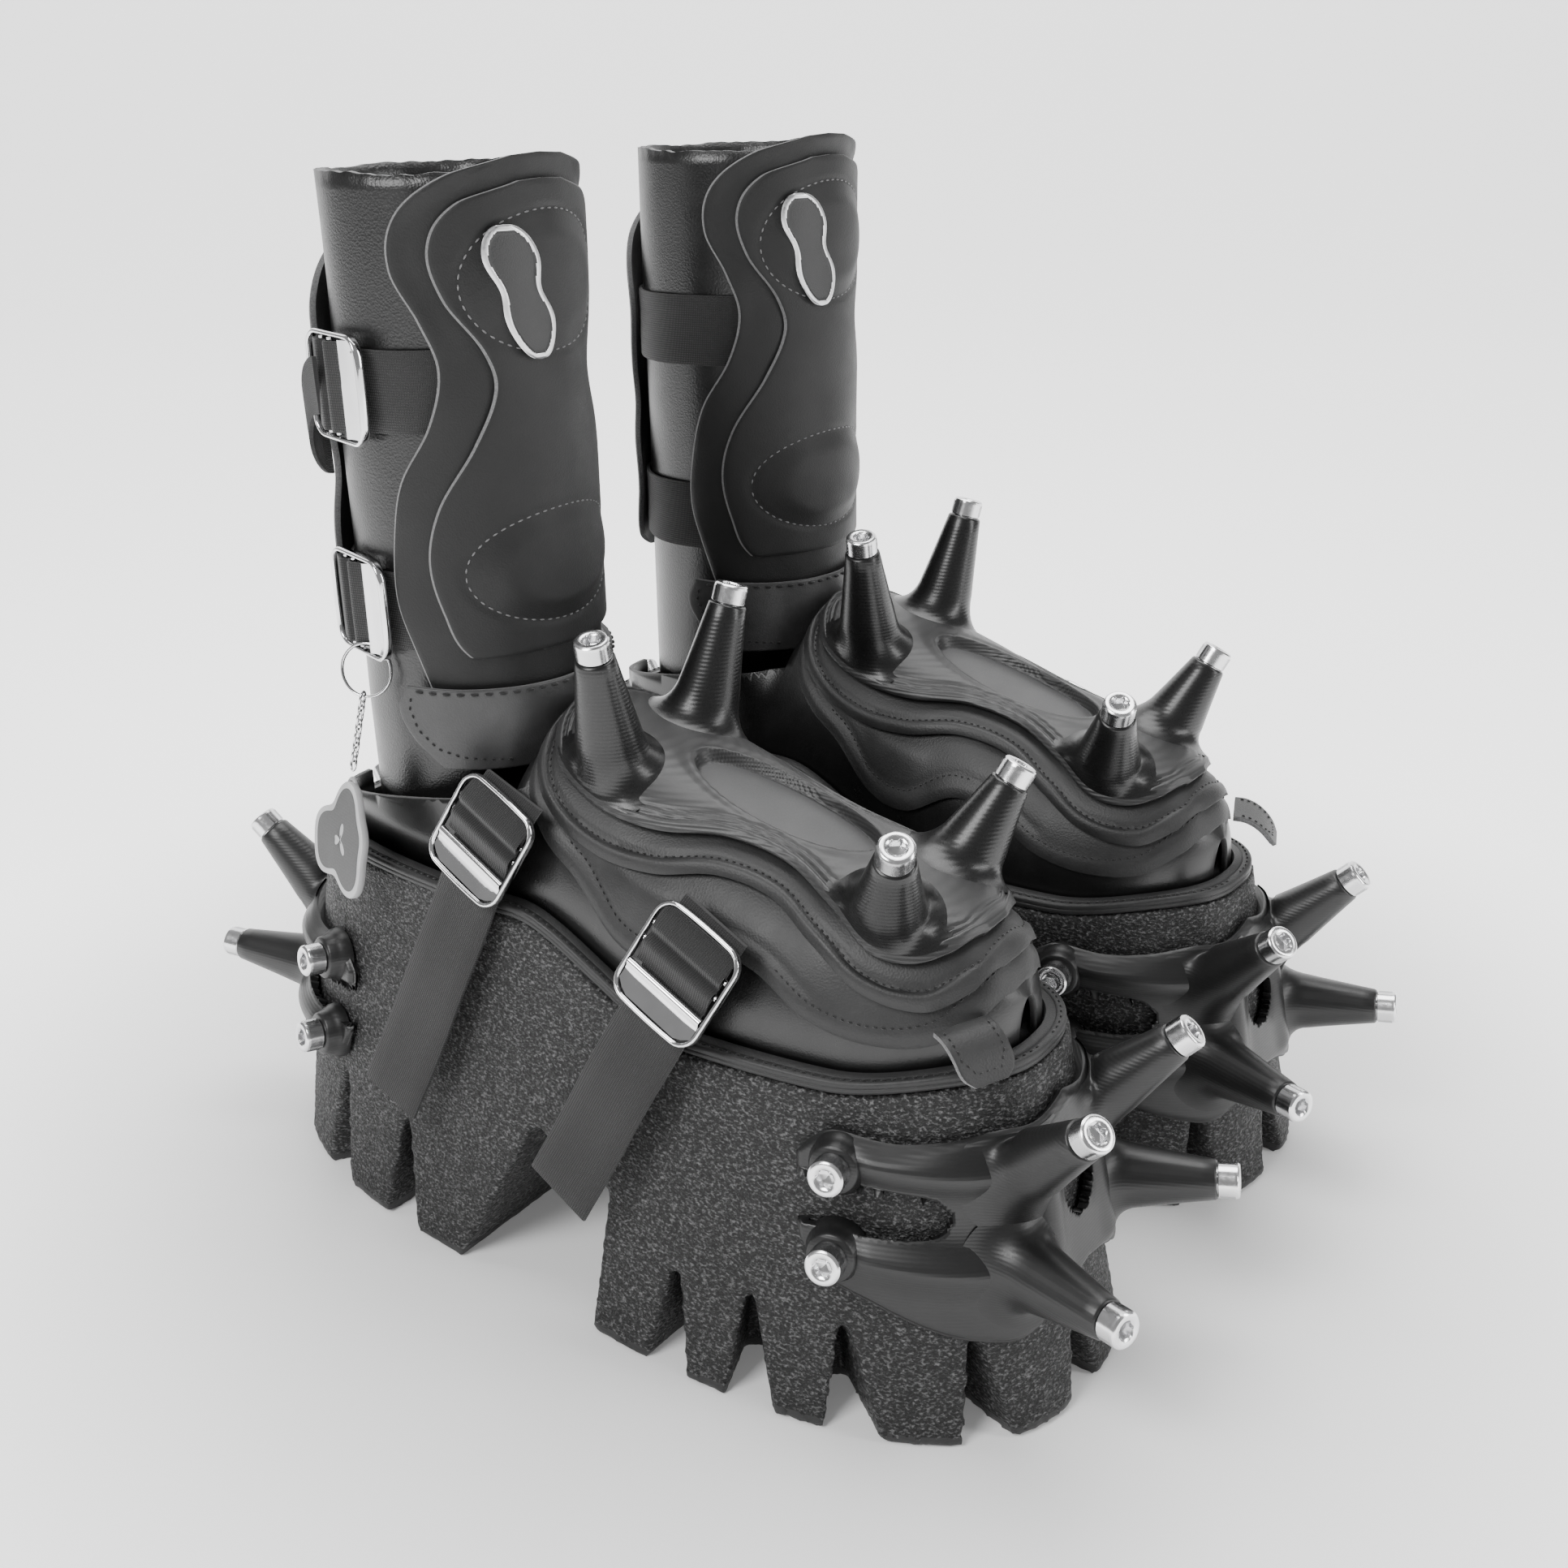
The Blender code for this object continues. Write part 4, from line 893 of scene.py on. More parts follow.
def end_plate_parts(way):
    surface = end_arc(way)

    def off(a, z):
        b = abs(a)
        lo, hi = curve(LOW_EDGE, b), curve(TOP_EDGE, b)
        room = min(z - lo, hi - z, (PLATE_END - b) * 1.2)
        h = 5.1 - 2.2 * bell(max(0, room), 1.5)
        ridge = 4.2 * bell(z - lerp(97, 101, b / 90), 6.5) * smooth(20, 34, b) * smooth(100, 74, b)
        ridge += 4.0 * bell(z - lerp(62, 68, b / 90), 6.5) * smooth(22, 36, b) * smooth(100, 76, b)
        ridge += 2.6 * bell(b - 17, 5.0) * smooth(44, 54, z) * smooth(112, 104, z)
        return h + ridge * smooth(0, 6, room) - 0.9 * bell(z - HOLE_Z, 12) * smooth(14, 30, b)
    bm = bmesh.new()

    def at(fx, fy):
        a = lerp(-PLATE_END, PLATE_END, fx)
        return a, lerp(curve(LOW_EDGE, abs(a)), curve(TOP_EDGE, abs(a)), fy)
    spots = {}

    def place(fx, fy):
        a, z = at(fx, fy)
        q = hole_ratio(a, z)
        if 0.945 < q < 1.055:
            a, z = a / q, HOLE_Z + (z - HOLE_Z) / q
        if abs(a) > NOTCH_START:
            h, d = notch_half(abs(a)), z - NOTCH_Z
            if abs(abs(d) - h) < 0.75:
                z = NOTCH_Z + (h if d > 0 else -h)
        p = surface(a, z, off(a, z))
        spots[p.copy().freeze()] = (a, z)
        return p
    verts = grid(bm, 210, 66, place)
    face_out(bm, verts, lambda p: Vector((p.x, p.y * 0.6, 0)))
    table = {v: spots[v.co.copy().freeze()] for v in verts if v.co.copy().freeze() in spots}
    gone = []
    for f in bm.faces:
        az = [table[v] for v in f.verts if v in table]
        if not az:
            continue
        a, z = sum(q[0] for q in az) / len(az), sum(q[1] for q in az) / len(az)
        in_notch = abs(a) > NOTCH_START + 0.5 and abs(z - NOTCH_Z) < notch_half(abs(a)) - 0.2
        if hole_ratio(a, z) < 0.975 or in_notch:
            gone.append(f)
    bmesh.ops.delete(bm, geom=gone, context='FACES')
    loose = [v for v in bm.verts if not v.link_faces]
    bmesh.ops.delete(bm, geom=loose, context='VERTS')
    spikes, seats = bmesh.new(), []

    def inside(a, z):
        b = min(102.5, abs(a))
        z = min(curve(TOP_EDGE, b) - 1.0, max(curve(LOW_EDGE, b) + 1.0, z))
        q = hole_ratio(b, z)
        if q < 1.12:
            b, z = b / q * 1.12, HOLE_Z + (z - HOLE_Z) / q * 1.12
        if b > NOTCH_START and abs(z - NOTCH_Z) < notch_half(b) + 1:
            z = NOTCH_Z + (notch_half(b) + 1) * (1 if z > NOTCH_Z else -1)
        return b * (1 if a > 0 else -1), z
    spec = SIDE[way]
    for sign in (-1, 1):
        for level in ("up", "low"):
            x, y, z = spec[level]
            a0, z0 = (27, 97) if level == "up" else (30, 64)
            seats.append(flared_cone(spikes, surface, sign * a0, z0, 3.0, 5.4, (sign * x, y, z), 14.0, 7.2, 9.0,
                                     inside, 0))
        for z0, a0 in ((spec["side"][0], 88), (spec["side"][1], 90)):
            foot = surface(sign * a0, z0 - 3, 2.5)
            n = (surface(sign * a0, z0 - 3, 12) - foot).normalized()
            turn(spikes, foot, n, [(11.6, -1.6), (11.2, 1.2), (10.2, 2.8), (9.4, 4.4), (8.8, 6.9), (8.2, 7.6),
                                   (HEAD_R - 1.2, 7.6), (HEAD_R - 1.6, 6.8)], 40)
            seats.append((foot + n * 7.6, n))
    return bm, spikes, seats


# ------------------------------------------------------------------ leather
GUARD_EDGE = rounded(((206, 58), (222, 64), (245, 73), (262, 78), (285, 76), (305, 70), (325, 56), (345, 50),
                      (362, 56), (380, 66), (398, 62), (411, 42), (417, 14)), 0.6)[2:]
SHIN_EDGE = rounded(((238, 46), (256, 56), (276, 60), (296, 54), (318, 38), (338, 28), (352, 32), (370, 46),
                     (388, 50), (402, 38), (408, 14)), 1.0)
CALF_EDGE = rounded(((226, 20), (236, 40), (256, 54), (272, 52), (296, 34), (318, 40), (340, 54), (354, 52),
                     (372, 34), (384, 14)), 1.0)
CUFF_EDGE = ((193, 60), (204, 72), (215, 78), (225, 74))
BADGE_Z, BADGE_HALF, BADGE_STEPS = 371, 23.6, 28


def badge_half_width(c, s):
    """Waisted outline; c and s are the cosine and sine of the turn from its lower end to its upper one."""
    return 0.3 + (12.6 - 1.6 * c - 4.2 * exp(-((c + 0.05) / 0.33) ** 2)) * s ** 0.85


BADGE_EDGE = tuple((BADGE_Z - BADGE_HALF * cos(a), badge_half_width(cos(a), sin(a)))
                   for a in (pi * k / BADGE_STEPS for k in range(BADGE_STEPS + 1)))
BADGE_SHIFT = ((348, 9), (362, 12), (374, 16), (394, 21))


def raw(p, amount=0.5, scale=0.35):
    """Slight waviness of cut and handled hide."""
    return noise.noise(Vector(p) * scale) * amount


def shoe_upper():
    bm = bmesh.new()

    def place(fx, fy):
        y = lerp(-155.7, 157.6, (1 - cos(pi * fy)) / 2)
        p = section(y, pi * fx)
        if fx in (0.0, 1.0):
            p.z -= 0.3
        return p + UP * raw(p, 0.5, 0.03)
    verts = grid(bm, 72, 150, place)
    face_out(bm, verts, lambda p: p - Vector((0, p.y * 0.93, 150)))
    rim, slope = Vector((0, 44, 190)), Vector((0, 27, 116)).normalized()     # plane of the collar's opening
    bmesh.ops.bisect_plane(bm, geom=bm.verts[:] + bm.edges[:] + bm.faces[:], dist=1e-4, plane_co=rim, plane_no=slope)
    gone = [f for f in bm.faces if f.calc_center_median().y > 43.5
            and (f.calc_center_median() - rim).dot(slope) > 0.01]
    bmesh.ops.delete(bm, geom=gone, context='FACES')
    return bm


def welt():
    bm = bmesh.new()
    prof = ((0.9, 0.3), (7.6, 0.3), (8.3, 0.9), (8.4, 2.2), (8.1, 2.6), (8.4, 3.0), (8.3, 4.5), (7.6, 5.2), (5.2, 5.3),
            (4.6, 4.9), (4.0, 5.3), (1.2, 5.6), (0.6, 4.0))
    n = 220
    stack = []
    for i in range(n):
        a = 2 * pi * (i + 0.5) / n
        ring = []
        for g, h in prof:
            y = lerp(-156 - g, 158 + g, (1 - cos(a)) / 2)
            w = foot_width(y, g)
            ring.append(Vector((w * (-1 if a < pi else 1), y, deck(y) + h)))
        stack.append(ring)
    skin(bm, stack, closed=True)
    return bm


def welt_path(s, t, off):
    y = lerp(-156 - s, 158 + s, (1 - cos(t)) / 2)
    return Vector((foot_width(y, s) * (-1 if t < pi else 1), y, deck(y) + 5.0 + off))


def apron_off(s, t):
    room = edge_room(APRON_EDGE, s, t)
    p = (s * 0.03, t * 0.03, 0)
    h = 3.1 + 0.9 * noise.noise(Vector(p)) * smooth(0, 20, room)
    if abs(s) > 40 and t > -95:
        h += 1.6 * smooth(10, 24, room) * smooth(46, 58, abs(s)) * bell(t + 24, 26)
        h -= 0.5 * bell(room - 9, 1.4)
    return h - 0.5 * bell(room, 1.5) + 0.35 * bell(room - 3, 2)


def overlay_off(s, t):
    room = edge_room(OVER_EDGE, s, t)
    fade = smooth(-151, -138, t)
    return 6.4 + fade * (0.9 * bell(room - 2.5, 2.0) - 0.9 * bell(room, 1.0) - 0.7 * bell(room - 6.2, 1.1))


def shin_off(s, t):
    room = edge_room(SHIN_EDGE, s, t)
    up = hypot(s / 38.0, (t - 374) / 24.0)
    low = hypot(s / 44.0, (t - 270) / 21.0)
    puff = 2.0 * smooth(1.0, 0.62, up) + 2.2 * smooth(1.0, 0.6, low)
    pinch = 0.6 * bell(up - 1.04, 0.05) + 0.6 * bell(low - 1.04, 0.05)
    return 53.2 + puff - pinch - 0.6 * bell(room, 1.2) + raw((s * 0.6, t * 0.6, 3), 0.35, 0.06)


def guard_off(s, t):
    room = edge_room(GUARD_EDGE, s, t)
    flare = 1.6 * smooth(9, 0, room) * smooth(300, 390, t)
    return 50.6 + raw((s, t, 0), 0.6, 0.05) + flare - 0.3 * bell(room, 1)


def calf_off(s, t):
    room = edge_room(CALF_EDGE, s, t)
    return 50.4 + raw((s, t, 9), 0.7, 0.04) + 1.3 * smooth(10, 0, room)


def calf_surface(s, t, off):
    return leg(180 + s, t, off)


def cuff_off(s, z):
    return 54.8 + raw((s, z, 4), 0.5, 0.05)


def cuff_surface(s, z, off):
    return leg(s, z + 3 * (1 - cos(radians(s))), off + (225 - z) * 0.04)


# ------------------------------------------------------------------ straps and buckles
FOOT = {"rear": ((-50.0, 34.0, 196.0), (-57.5, 43.0, 176.0), (-72.0, 60.0, 122.0), (-88.0, 78.0, 66.0)),
        "front": ((-52.5, -62.0, 172.0), (-62.5, -54.0, 153.0), (-76.0, -34.0, 108.0), (-90.0, -14.0, 61.0))}


def foot_strap(tag):
    a, b, c, d = [Vector(p) for p in FOOT[tag]]
    run = (d - a).normalized()
    out = Vector((-0.93, -0.05, 0.35))
    out = (out - run * out.dot(run)).normalized()
    return (a, b, c, d), out, out.cross(run).normalized()


def spline(pts, f):
    t = f * 3
    i = min(2, int(t))
    t -= i
    p0, p1, p2, p3 = pts[max(0, i - 1)], pts[i], pts[i + 1], pts[min(3, i + 2)]
    return 0.5 * ((2 * p1) + (p2 - p0) * t + (2 * p0 - 5 * p1 + 4 * p2 - p3) * t * t
                  + (3 * p1 - p0 - 3 * p2 + p3) * t ** 3)


def ribbon(bm, path, across, out, width, thick):
    """Flat band along a path: closed, with its UV in millimetres for the weave."""
    run = [0.0]
    for a, b in zip(path, path[1:]):
        run.append(run[-1] + (b - a).length)
    ring = ((-1, -1), (-0.96, -1), (0.96, -1), (1, -0.6), (1, 0.6), (0.96, 1), (0.5, 1.05), (0, 1.08), (-0.5, 1.05),
            (-0.96, 1), (-1, 0.6), (-1, -0.6))
    m, n = len(path) - 1, len(ring)

    def place(fx, fy):
        i, k = round(fy * m), round(fx * n) % n
        w, h = ring[k]
        o = out(i) if callable(out) else out
        c = across(i) if callable(across) else across
        return path[i] + c * (w * width / 2) + o * (h * thick / 2)

    def uv(fx, fy):
        i, k = round(fy * m), round(fx * n) % n
        return run[i], ring[k][0] * width / 2
    verts = grid(bm, n, m, place, uv)
    bmesh.ops.remove_doubles(bm, verts=verts, dist=1e-4)
    verts = [v for v in verts if v.is_valid]
    fill_holes(bm, verts)
    bmesh.ops.recalc_face_normals(bm, faces=list({f for v in verts for f in v.link_faces}))


def loop_path(c, u, v, a, b, rc, bow):
    """Rounded oblong loop, half sizes a and b, corner radius rc, with two sides bowed out."""
    pts = []
    for sx, sy, start in ((1, 1, 0), (-1, 1, 90), (-1, -1, 180), (1, -1, 270)):
        for k in range(7):
            ang = radians(start + 90 * k / 6)
            x, y = sx * (a - rc) + rc * cos(ang), sy * (b - rc) + rc * sin(ang)
            x += bow * (1 if sx > 0 else -1) * (1 - (y / b) ** 2) * smooth(a - rc - 2, a, abs(x))
            pts.append((x, y))
        if sy * sx > 0:
            for k in range(1, 6):
                x = lerp(sx * (a - rc), -sx * (a - rc), k / 6)
                pts.append((x, sy * b))
        else:
            for k in range(1, 6):
                y = lerp(sy * (b - rc), -sy * (b - rc), k / 6)
                pts.append((sx * (a + bow * (1 - (y / b) ** 2)), y))
    return [c + u * x + v * y for x, y in pts]


def buckle(centre, along_u, out):
    """Polished ladder-lock: rounded rail, two bars and a folded end plate, and its webbing."""
    c, u, n = Vector(centre), Vector(along_u).normalized(), Vector(out).normalized()
    u = (u - n * u.dot(n)).normalized()
    v = n.cross(u)
    bm = bmesh.new()
    hoop(bm, loop_path(c, u, v, 18.9, 19.3, 6.6, 0.8), n, 0.95, 1.75, 12, power=0.8)
    w = 17.9
    for pos, r in ((-2.5, 1.15), (-9.0, 1.1)):
        rod(bm, [c + u * pos + v * (w * k / 6) - n * 0.2 for k in range(-6, 7)], r, 12, normal=n)
    prof = ((6.2, 0.2), (6.5, 1.1), (7.3, 1.75), (8.3, 1.6), (9.4, 0.7), (11.5, 0.25), (15.0, 0.25),
            (18.2, 0.4), (18.2, -0.7), (14.0, -0.9), (9.0, -0.7), (6.8, -0.6))
    stack = []
    for k in range(13):
        y = lerp(-w, w, k / 12)
        pull = 3.6 * smooth(12.8, 18.0, abs(y))
        stack.append([c + u * (x - pull * smooth(9, 18, x)) + n * z + v * y for x, z in prof])
    skin(bm, stack)
    webbing = bmesh.new()
    shape = ((-17.6, -0.9), (-15.5, -0.1), (-12.5, 1.0), (-10.0, 1.9), (-8.2, 1.9), (-6.6, 0.5),
             (-5.6, 0.0), (-4.6, 0.6), (-3.2, 1.9), (-1.6, 1.9), (0.4, 0.8), (3.0, -0.6), (5.4, -1.2))
    path = [c + u * curve_x + n * z for curve_x, z in
            [(lerp(-17.6, 5.4, k / 46), curve(shape, lerp(-17.6, 5.4, k / 46))) for k in range(47)]]
    ribbon(webbing, path, v, n, 33.5, 1.3)
    return bm, webbing


# ------------------------------------------------------------------ operators
class BootSettings(PropertyGroup):
    leather_tone: FloatProperty(name="Leather tone", description="Base reflectance of the black hide",
                                default=0.006, min=0.002, max=0.2)
    flake_tone: FloatProperty(name="Print flake tone", description="Lightest tone of the rough print skin",
                              default=0.15, min=0.01, max=0.8)
    print_fuzz: FloatProperty(name="Print roughness",
                              description="How far the rough print skin stands up, in millimetres",
                              default=0.45, min=0.0, max=1.5)
    print_voxel: FloatProperty(name="Print detail", description="Spacing of the platform's mesh, in millimetres",
                               default=1.75, min=1.2, max=6.0)
    stitch_length: FloatProperty(name="Stitch length", description="Length of one stitch",
                                 default=0.0022, min=0.001, max=0.006, unit='LENGTH')
    stitch_gap: FloatProperty(name="Stitch gap", description="Gap between two stitches",
                              default=0.0014, min=0.0005, max=0.004, unit='LENGTH')
    paper: FloatVectorProperty(name="Backdrop colour", description="Colour of the plain floor and backdrop",
                               default=(0.86, 0.86, 0.86), subtype='COLOR', min=0, max=1)


class BOOT_OT_platforms(Operator):
    """Platforms with grooved, rough-printed walls"""
    bl_idname = "boots.platforms"
    bl_label = "Platforms"

    def execute(self, context):
        kit = context.scene.boot_kit
        bm = platform_solid(kit.print_voxel, kit.print_fuzz)
        for f in bm.faces:
            if f.calc_center_median().z < 3.6 and abs(f.normal.z) < 0.8:
                f.material_index = 1
        both_boots("platform_block", bm, ["platform", "tread"], nodes=["platform"], sharp=0)
        return {'FINISHED'}


class BOOT_OT_shoes(Operator):
    """Uppers, footbeds, welts and pull tabs"""
    bl_idname = "boots.shoes"
    bl_label = "Uppers, footbeds and welts"

    def execute(self, context):
        kit = context.scene.boot_kit
        both_boots("toe_and_quarters", shoe_upper(), ["toe_leather", "dark_edge"], nodes=["upper"],
                   thickness=2.4, rim=1, sharp=0)
        both_boots("stitched_welt", welt(), ["vamp_leather"], nodes=["welt_band"], sharp=60)
        bm = bmesh.new()
        steps = [2 * pi * k / 300 for k in range(301)]
        stitches(bm, welt_path, [(6.4, max(0.02, min(2 * pi - 0.02, a))) for a in steps], 0.35,
                 kit.stitch_length / MM, kit.stitch_gap / MM, 0.45)
        both_boots("welt_stitching", bm, ["thread"], sharp=0)
        bm = bmesh.new()
        y0, y1 = -156 + 5.2, 158 - 5.2

        def bed(fx, fy):
            y, g = lerp(y0, y1, (1 - cos(pi * fy)) / 2), fx * 2 - 1
            return Vector((foot_width(y, -5.0) * g, y, deck(y) + 4.2 - 0.6 * (1 - g ** 2)))
        verts = grid(bm, 24, 60, bed)
        face_out(bm, verts, upward)
        both_boots("moulded_footbed", bm, ["footbed"], nodes=["footbed"], thickness=3.6,
                   bevel=0.6, sharp=0)
        a = radians(24)
        base, d = Vector((-30, -146, 0)), Vector((-sin(a), -cos(a), 0))
        side = Vector((-d.y, d.x, 0))
        knots = ((0, 149.2), (5, 148.8), (10, 146.6), (14.5, 142.6), (18.5, 136.4))

        def tab(s, t, off):
            slope = curve(knots, t + 0.5) - curve(knots, t - 0.5)
            n = (UP - d * slope).normalized()
            return base + d * t + side * s + UP * curve(knots, t) + n * off
        edge = ((0, 11), (13, 11), (16.5, 10.2), (18.5, 6.5))
        bm = panel(tab, edge, 18, 22, lambda s, t: 0.25 * bell(t - 17, 2), upward)
        both_boots("front_pull_tab", bm, ["vamp_leather", "raw_edge"], nodes=["pull_tab"],
                   thickness=1.9, rim=1, bevel=0.3, sharp=0)
        bm = bmesh.new()
        stitches(bm, tab, [(-8.5, 1), (-8.5, 13), (-5, 16.3), (5, 16.3), (8.5, 13), (8.5, 1)], 0.2, 1.6, 1.2, 0.34)
        both_boots("tab_stitching", bm, ["thread"], sharp=0)
        return {'FINISHED'}


class BOOT_OT_aprons(Operator):
    """Two leather layers under each instep plate, with their seams"""
    bl_idname = "boots.aprons"
    bl_label = "Aprons and overlays"

    def execute(self, context):
        kit = context.scene.boot_kit
        for name, edge, off, node_name in (("lower_apron", APRON_EDGE, apron_off, "apron"),
                                           ("raised_overlay", OVER_EDGE, overlay_off, "apron_overlay")):
            bm = panel(vamp, edge, 84, 130, off, upward)
            both_boots(name, bm, ["vamp_leather", "dark_edge"], nodes=[node_name],
                       thickness=1.7, rim=1, bevel=0.35, sharp=0)
        bm = bmesh.new()
        length, gap = kit.stitch_length / MM * 0.75, kit.stitch_gap / MM * 0.9

        def top(s, t, off):
            return vamp(s, t, overlay_off(s, t) + off)

        def low(s, t, off):
            return vamp(s, t, apron_off(s, t) + off)
        stitches(bm, top, outline(OVER_EDGE, 6.2, 90), 0.15, length, gap, 0.38)
        for sign in (-1, 1):
            path = [(sign * s, t) for s, t in outline(APRON_EDGE, 8.5, 80, -62, 14, False)]
            stitches(bm, low, path, 0.15, length, gap, 0.36)
        skirt = [(s, t) for s, t in outline(APRON_EDGE, 5.5, 60, -151, -80, False)]
        stitches(bm, low, [(-s, t) for s, t in reversed(skirt)] + skirt, 0.15, length, gap, 0.36)
        both_boots("vamp_stitching", bm, ["thread"], sharp=0)
        return {'FINISHED'}


class BOOT_OT_instep_plates(Operator):
    """Instep plates with window, grooves and four spikes, and their socket screws"""
    bl_idname = "boots.instep_plates"
    bl_label = "Instep plates and screws"

    def execute(self, context):
        plate, spikes, seats = instep_parts()
        both_boots("windowed_instep_plate", plate, ["instep", "floor"], nodes=["instep_plate"],
                   thickness=3.2, rim=0, sharp=0)
        both_boots("instep_spikes", spikes, ["cone"], sharp=60)
        for tag, (seat, axis) in zip(INSTEP_NAMES, seats):
            bm = bmesh.new()
            cap_screw(bm, seat, axis)
            both_boots("instep_socket_screw_" + tag, bm, ["screw"], nodes=["instep_screw_" + tag],
                       sharp=35)
        return {'FINISHED'}


class BOOT_OT_end_plates(Operator):
    """Toe and heel plates with spikes, side bosses and screws"""
    bl_idname = "boots.end_plates"
    bl_label = "Toe and heel plates"

    def execute(self, context):
        for name, way in (("toe", -1), ("heel", 1)):
            plate, spikes, seats = end_plate_parts(way)
            both_boots(name + "_shield", plate, ["plate"], nodes=[name + "_plate"],
                       thickness=3.6, bevel=0.5, sharp=0)
            both_boots(name + "_spikes", spikes, ["plate"], sharp=60)
            bm = bmesh.new()
            for seat, axis in seats:
                cap_screw(bm, seat, axis)
            both_boots(name + "_socket_screws", bm, ["screw"], sharp=35)
        return {'FINISHED'}


class BOOT_OT_shafts(Operator):
    """Leg tubes, shin guards, padded overlays, calf panels and ankle cuffs"""
    bl_idname = "boots.shafts"
    bl_label = "Shafts and shin pieces"

    def execute(self, context):
        kit = context.scene.boot_kit
        bm = bmesh.new()

        def tube(fx, fy):
            th, z = 360 * fx, lerp(TUBE_LOW, TUBE_TOP, fy)
            w = radians(th)
            wave = 0.35 * sin(3 * w + 1) + 0.3 * sin(7 * w) + noise.noise(Vector((cos(w) * 9, sin(w) * 9, 2))) * 0.7
            if fy == 1.0:
                z += wave - 0.4
            soft = noise.noise(Vector((cos(w) * 1.2, sin(w) * 1.2, z * 0.012))) * 0.8 * smooth(0, 0.2, fy)
            return leg(th, z, TUBE_R + min(0.35, soft))
        verts = grid(bm, 160, 40, tube)
        bmesh.ops.remove_doubles(bm, verts=verts, dist=1e-4)
        face_out(bm, [v for v in verts if v.is_valid], from_leg)
        both_boots("leg_tube", bm, ["tube_leather", "raw_edge"], "leg", ["shaft"],
                   TUBE_WALL, 1, sharp=0)
        for name, edge, off, surf, node_name, finish, thick in (
                ("matt_shin_guard", GUARD_EDGE, guard_off, leg, "shin_guard", "matt_leather", 2.6),
                ("padded_shin_overlay", SHIN_EDGE, shin_off, leg, "shin_overlay", "matt_leather", 1.7),
                ("lobed_calf_panel", CALF_EDGE, calf_off, calf_surface, "calf_panel", "matt_leather", 2.4)):
            bm = panel(surf, edge, 70, 120, off, from_leg, lip=1.15)
            both_boots(name, bm, [finish, "raw_edge"], "leg", [node_name], thick, 1, 0.3, sharp=0)
        bm = panel(cuff_surface, CUFF_EDGE, 80, 16, cuff_off, from_leg)
        both_boots("ankle_cuff_panel", bm, ["cuff_leather", "dark_edge"], "boot",
                   ["ankle_cuff"], 2.0, 1, 0.4, sharp=0)
        bm = bmesh.new()

        def cuff(s, t, off):
            return cuff_surface(s, t, cuff_off(s, t) + off)
        stitches(bm, cuff, [(lerp(-72, 72, k / 60), 223.3) for k in range(61)], 0.3, 3.6, 1.8, 0.75)
        side_seam = ((72, 222), (73, 216), (70, 208), (62, 201), (52, 198), (30, 196.5))
        for sign in (-1, 1):
            stitches(bm, cuff, [(sign * x, z) for x, z in side_seam], 0.2, 1.8, 1.6, 0.5)
        both_boots("cuff_stitching", bm, ["thread"], "boot", (), sharp=0)
        bm = bmesh.new()
        length, gap = kit.stitch_length / MM, kit.stitch_gap / MM

        def pad(s, t, off):
            return leg(s, t, shin_off(s, t) + off)
        for cx, cz, rx, rz in ((0, 374, 38.0, 24.0), (0, 270, 44.0, 21.0)):
            path = [(cx + rx * 1.03 * cos(2 * pi * k / 90), cz + rz * 1.03 * sin(2 * pi * k / 90)) for k in range(91)]
            stitches(bm, pad, path, 0.1, length, gap, 0.34)
        both_boots("shin_stitching", bm, ["pale_thread"], "leg", (), sharp=0)
        return {'FINISHED'}


class BOOT_OT_badges(Operator):
    """Raised metal badges on the shin overlays"""
    bl_idname = "boots.badges"
    bl_label = "Badges"

    def execute(self, context):
        for side, way in (("right", -1), ("left", 1)):
            def height(s, t):
                room = edge_room(BADGE_EDGE, s - way * curve(BADGE_SHIFT, t), t)
                return 55.6 + 0.5 * smooth(3.0, 1.8, room * 0.9) - 0.5 * bell(room, 0.6)
            bm = panel(leg, BADGE_EDGE, 44, 70, height, from_leg, mid=lambda t: way * curve(BADGE_SHIFT, t))
            for f in bm.faces:
                c = f.calc_center_median()
                th = degrees(atan2(c.x, LEG_Y - c.y))
                if edge_room(BADGE_EDGE, th - way * curve(BADGE_SHIFT, c.z), c.z) > 2.3:
                    f.material_index = 1
            both_boots("generic_badge", bm, ["badge_rim", "badge_field"], "leg", ["shin_badge"],
                       1.6, 0, 0.25, sharp=0, sides=(side,))
        return {'FINISHED'}


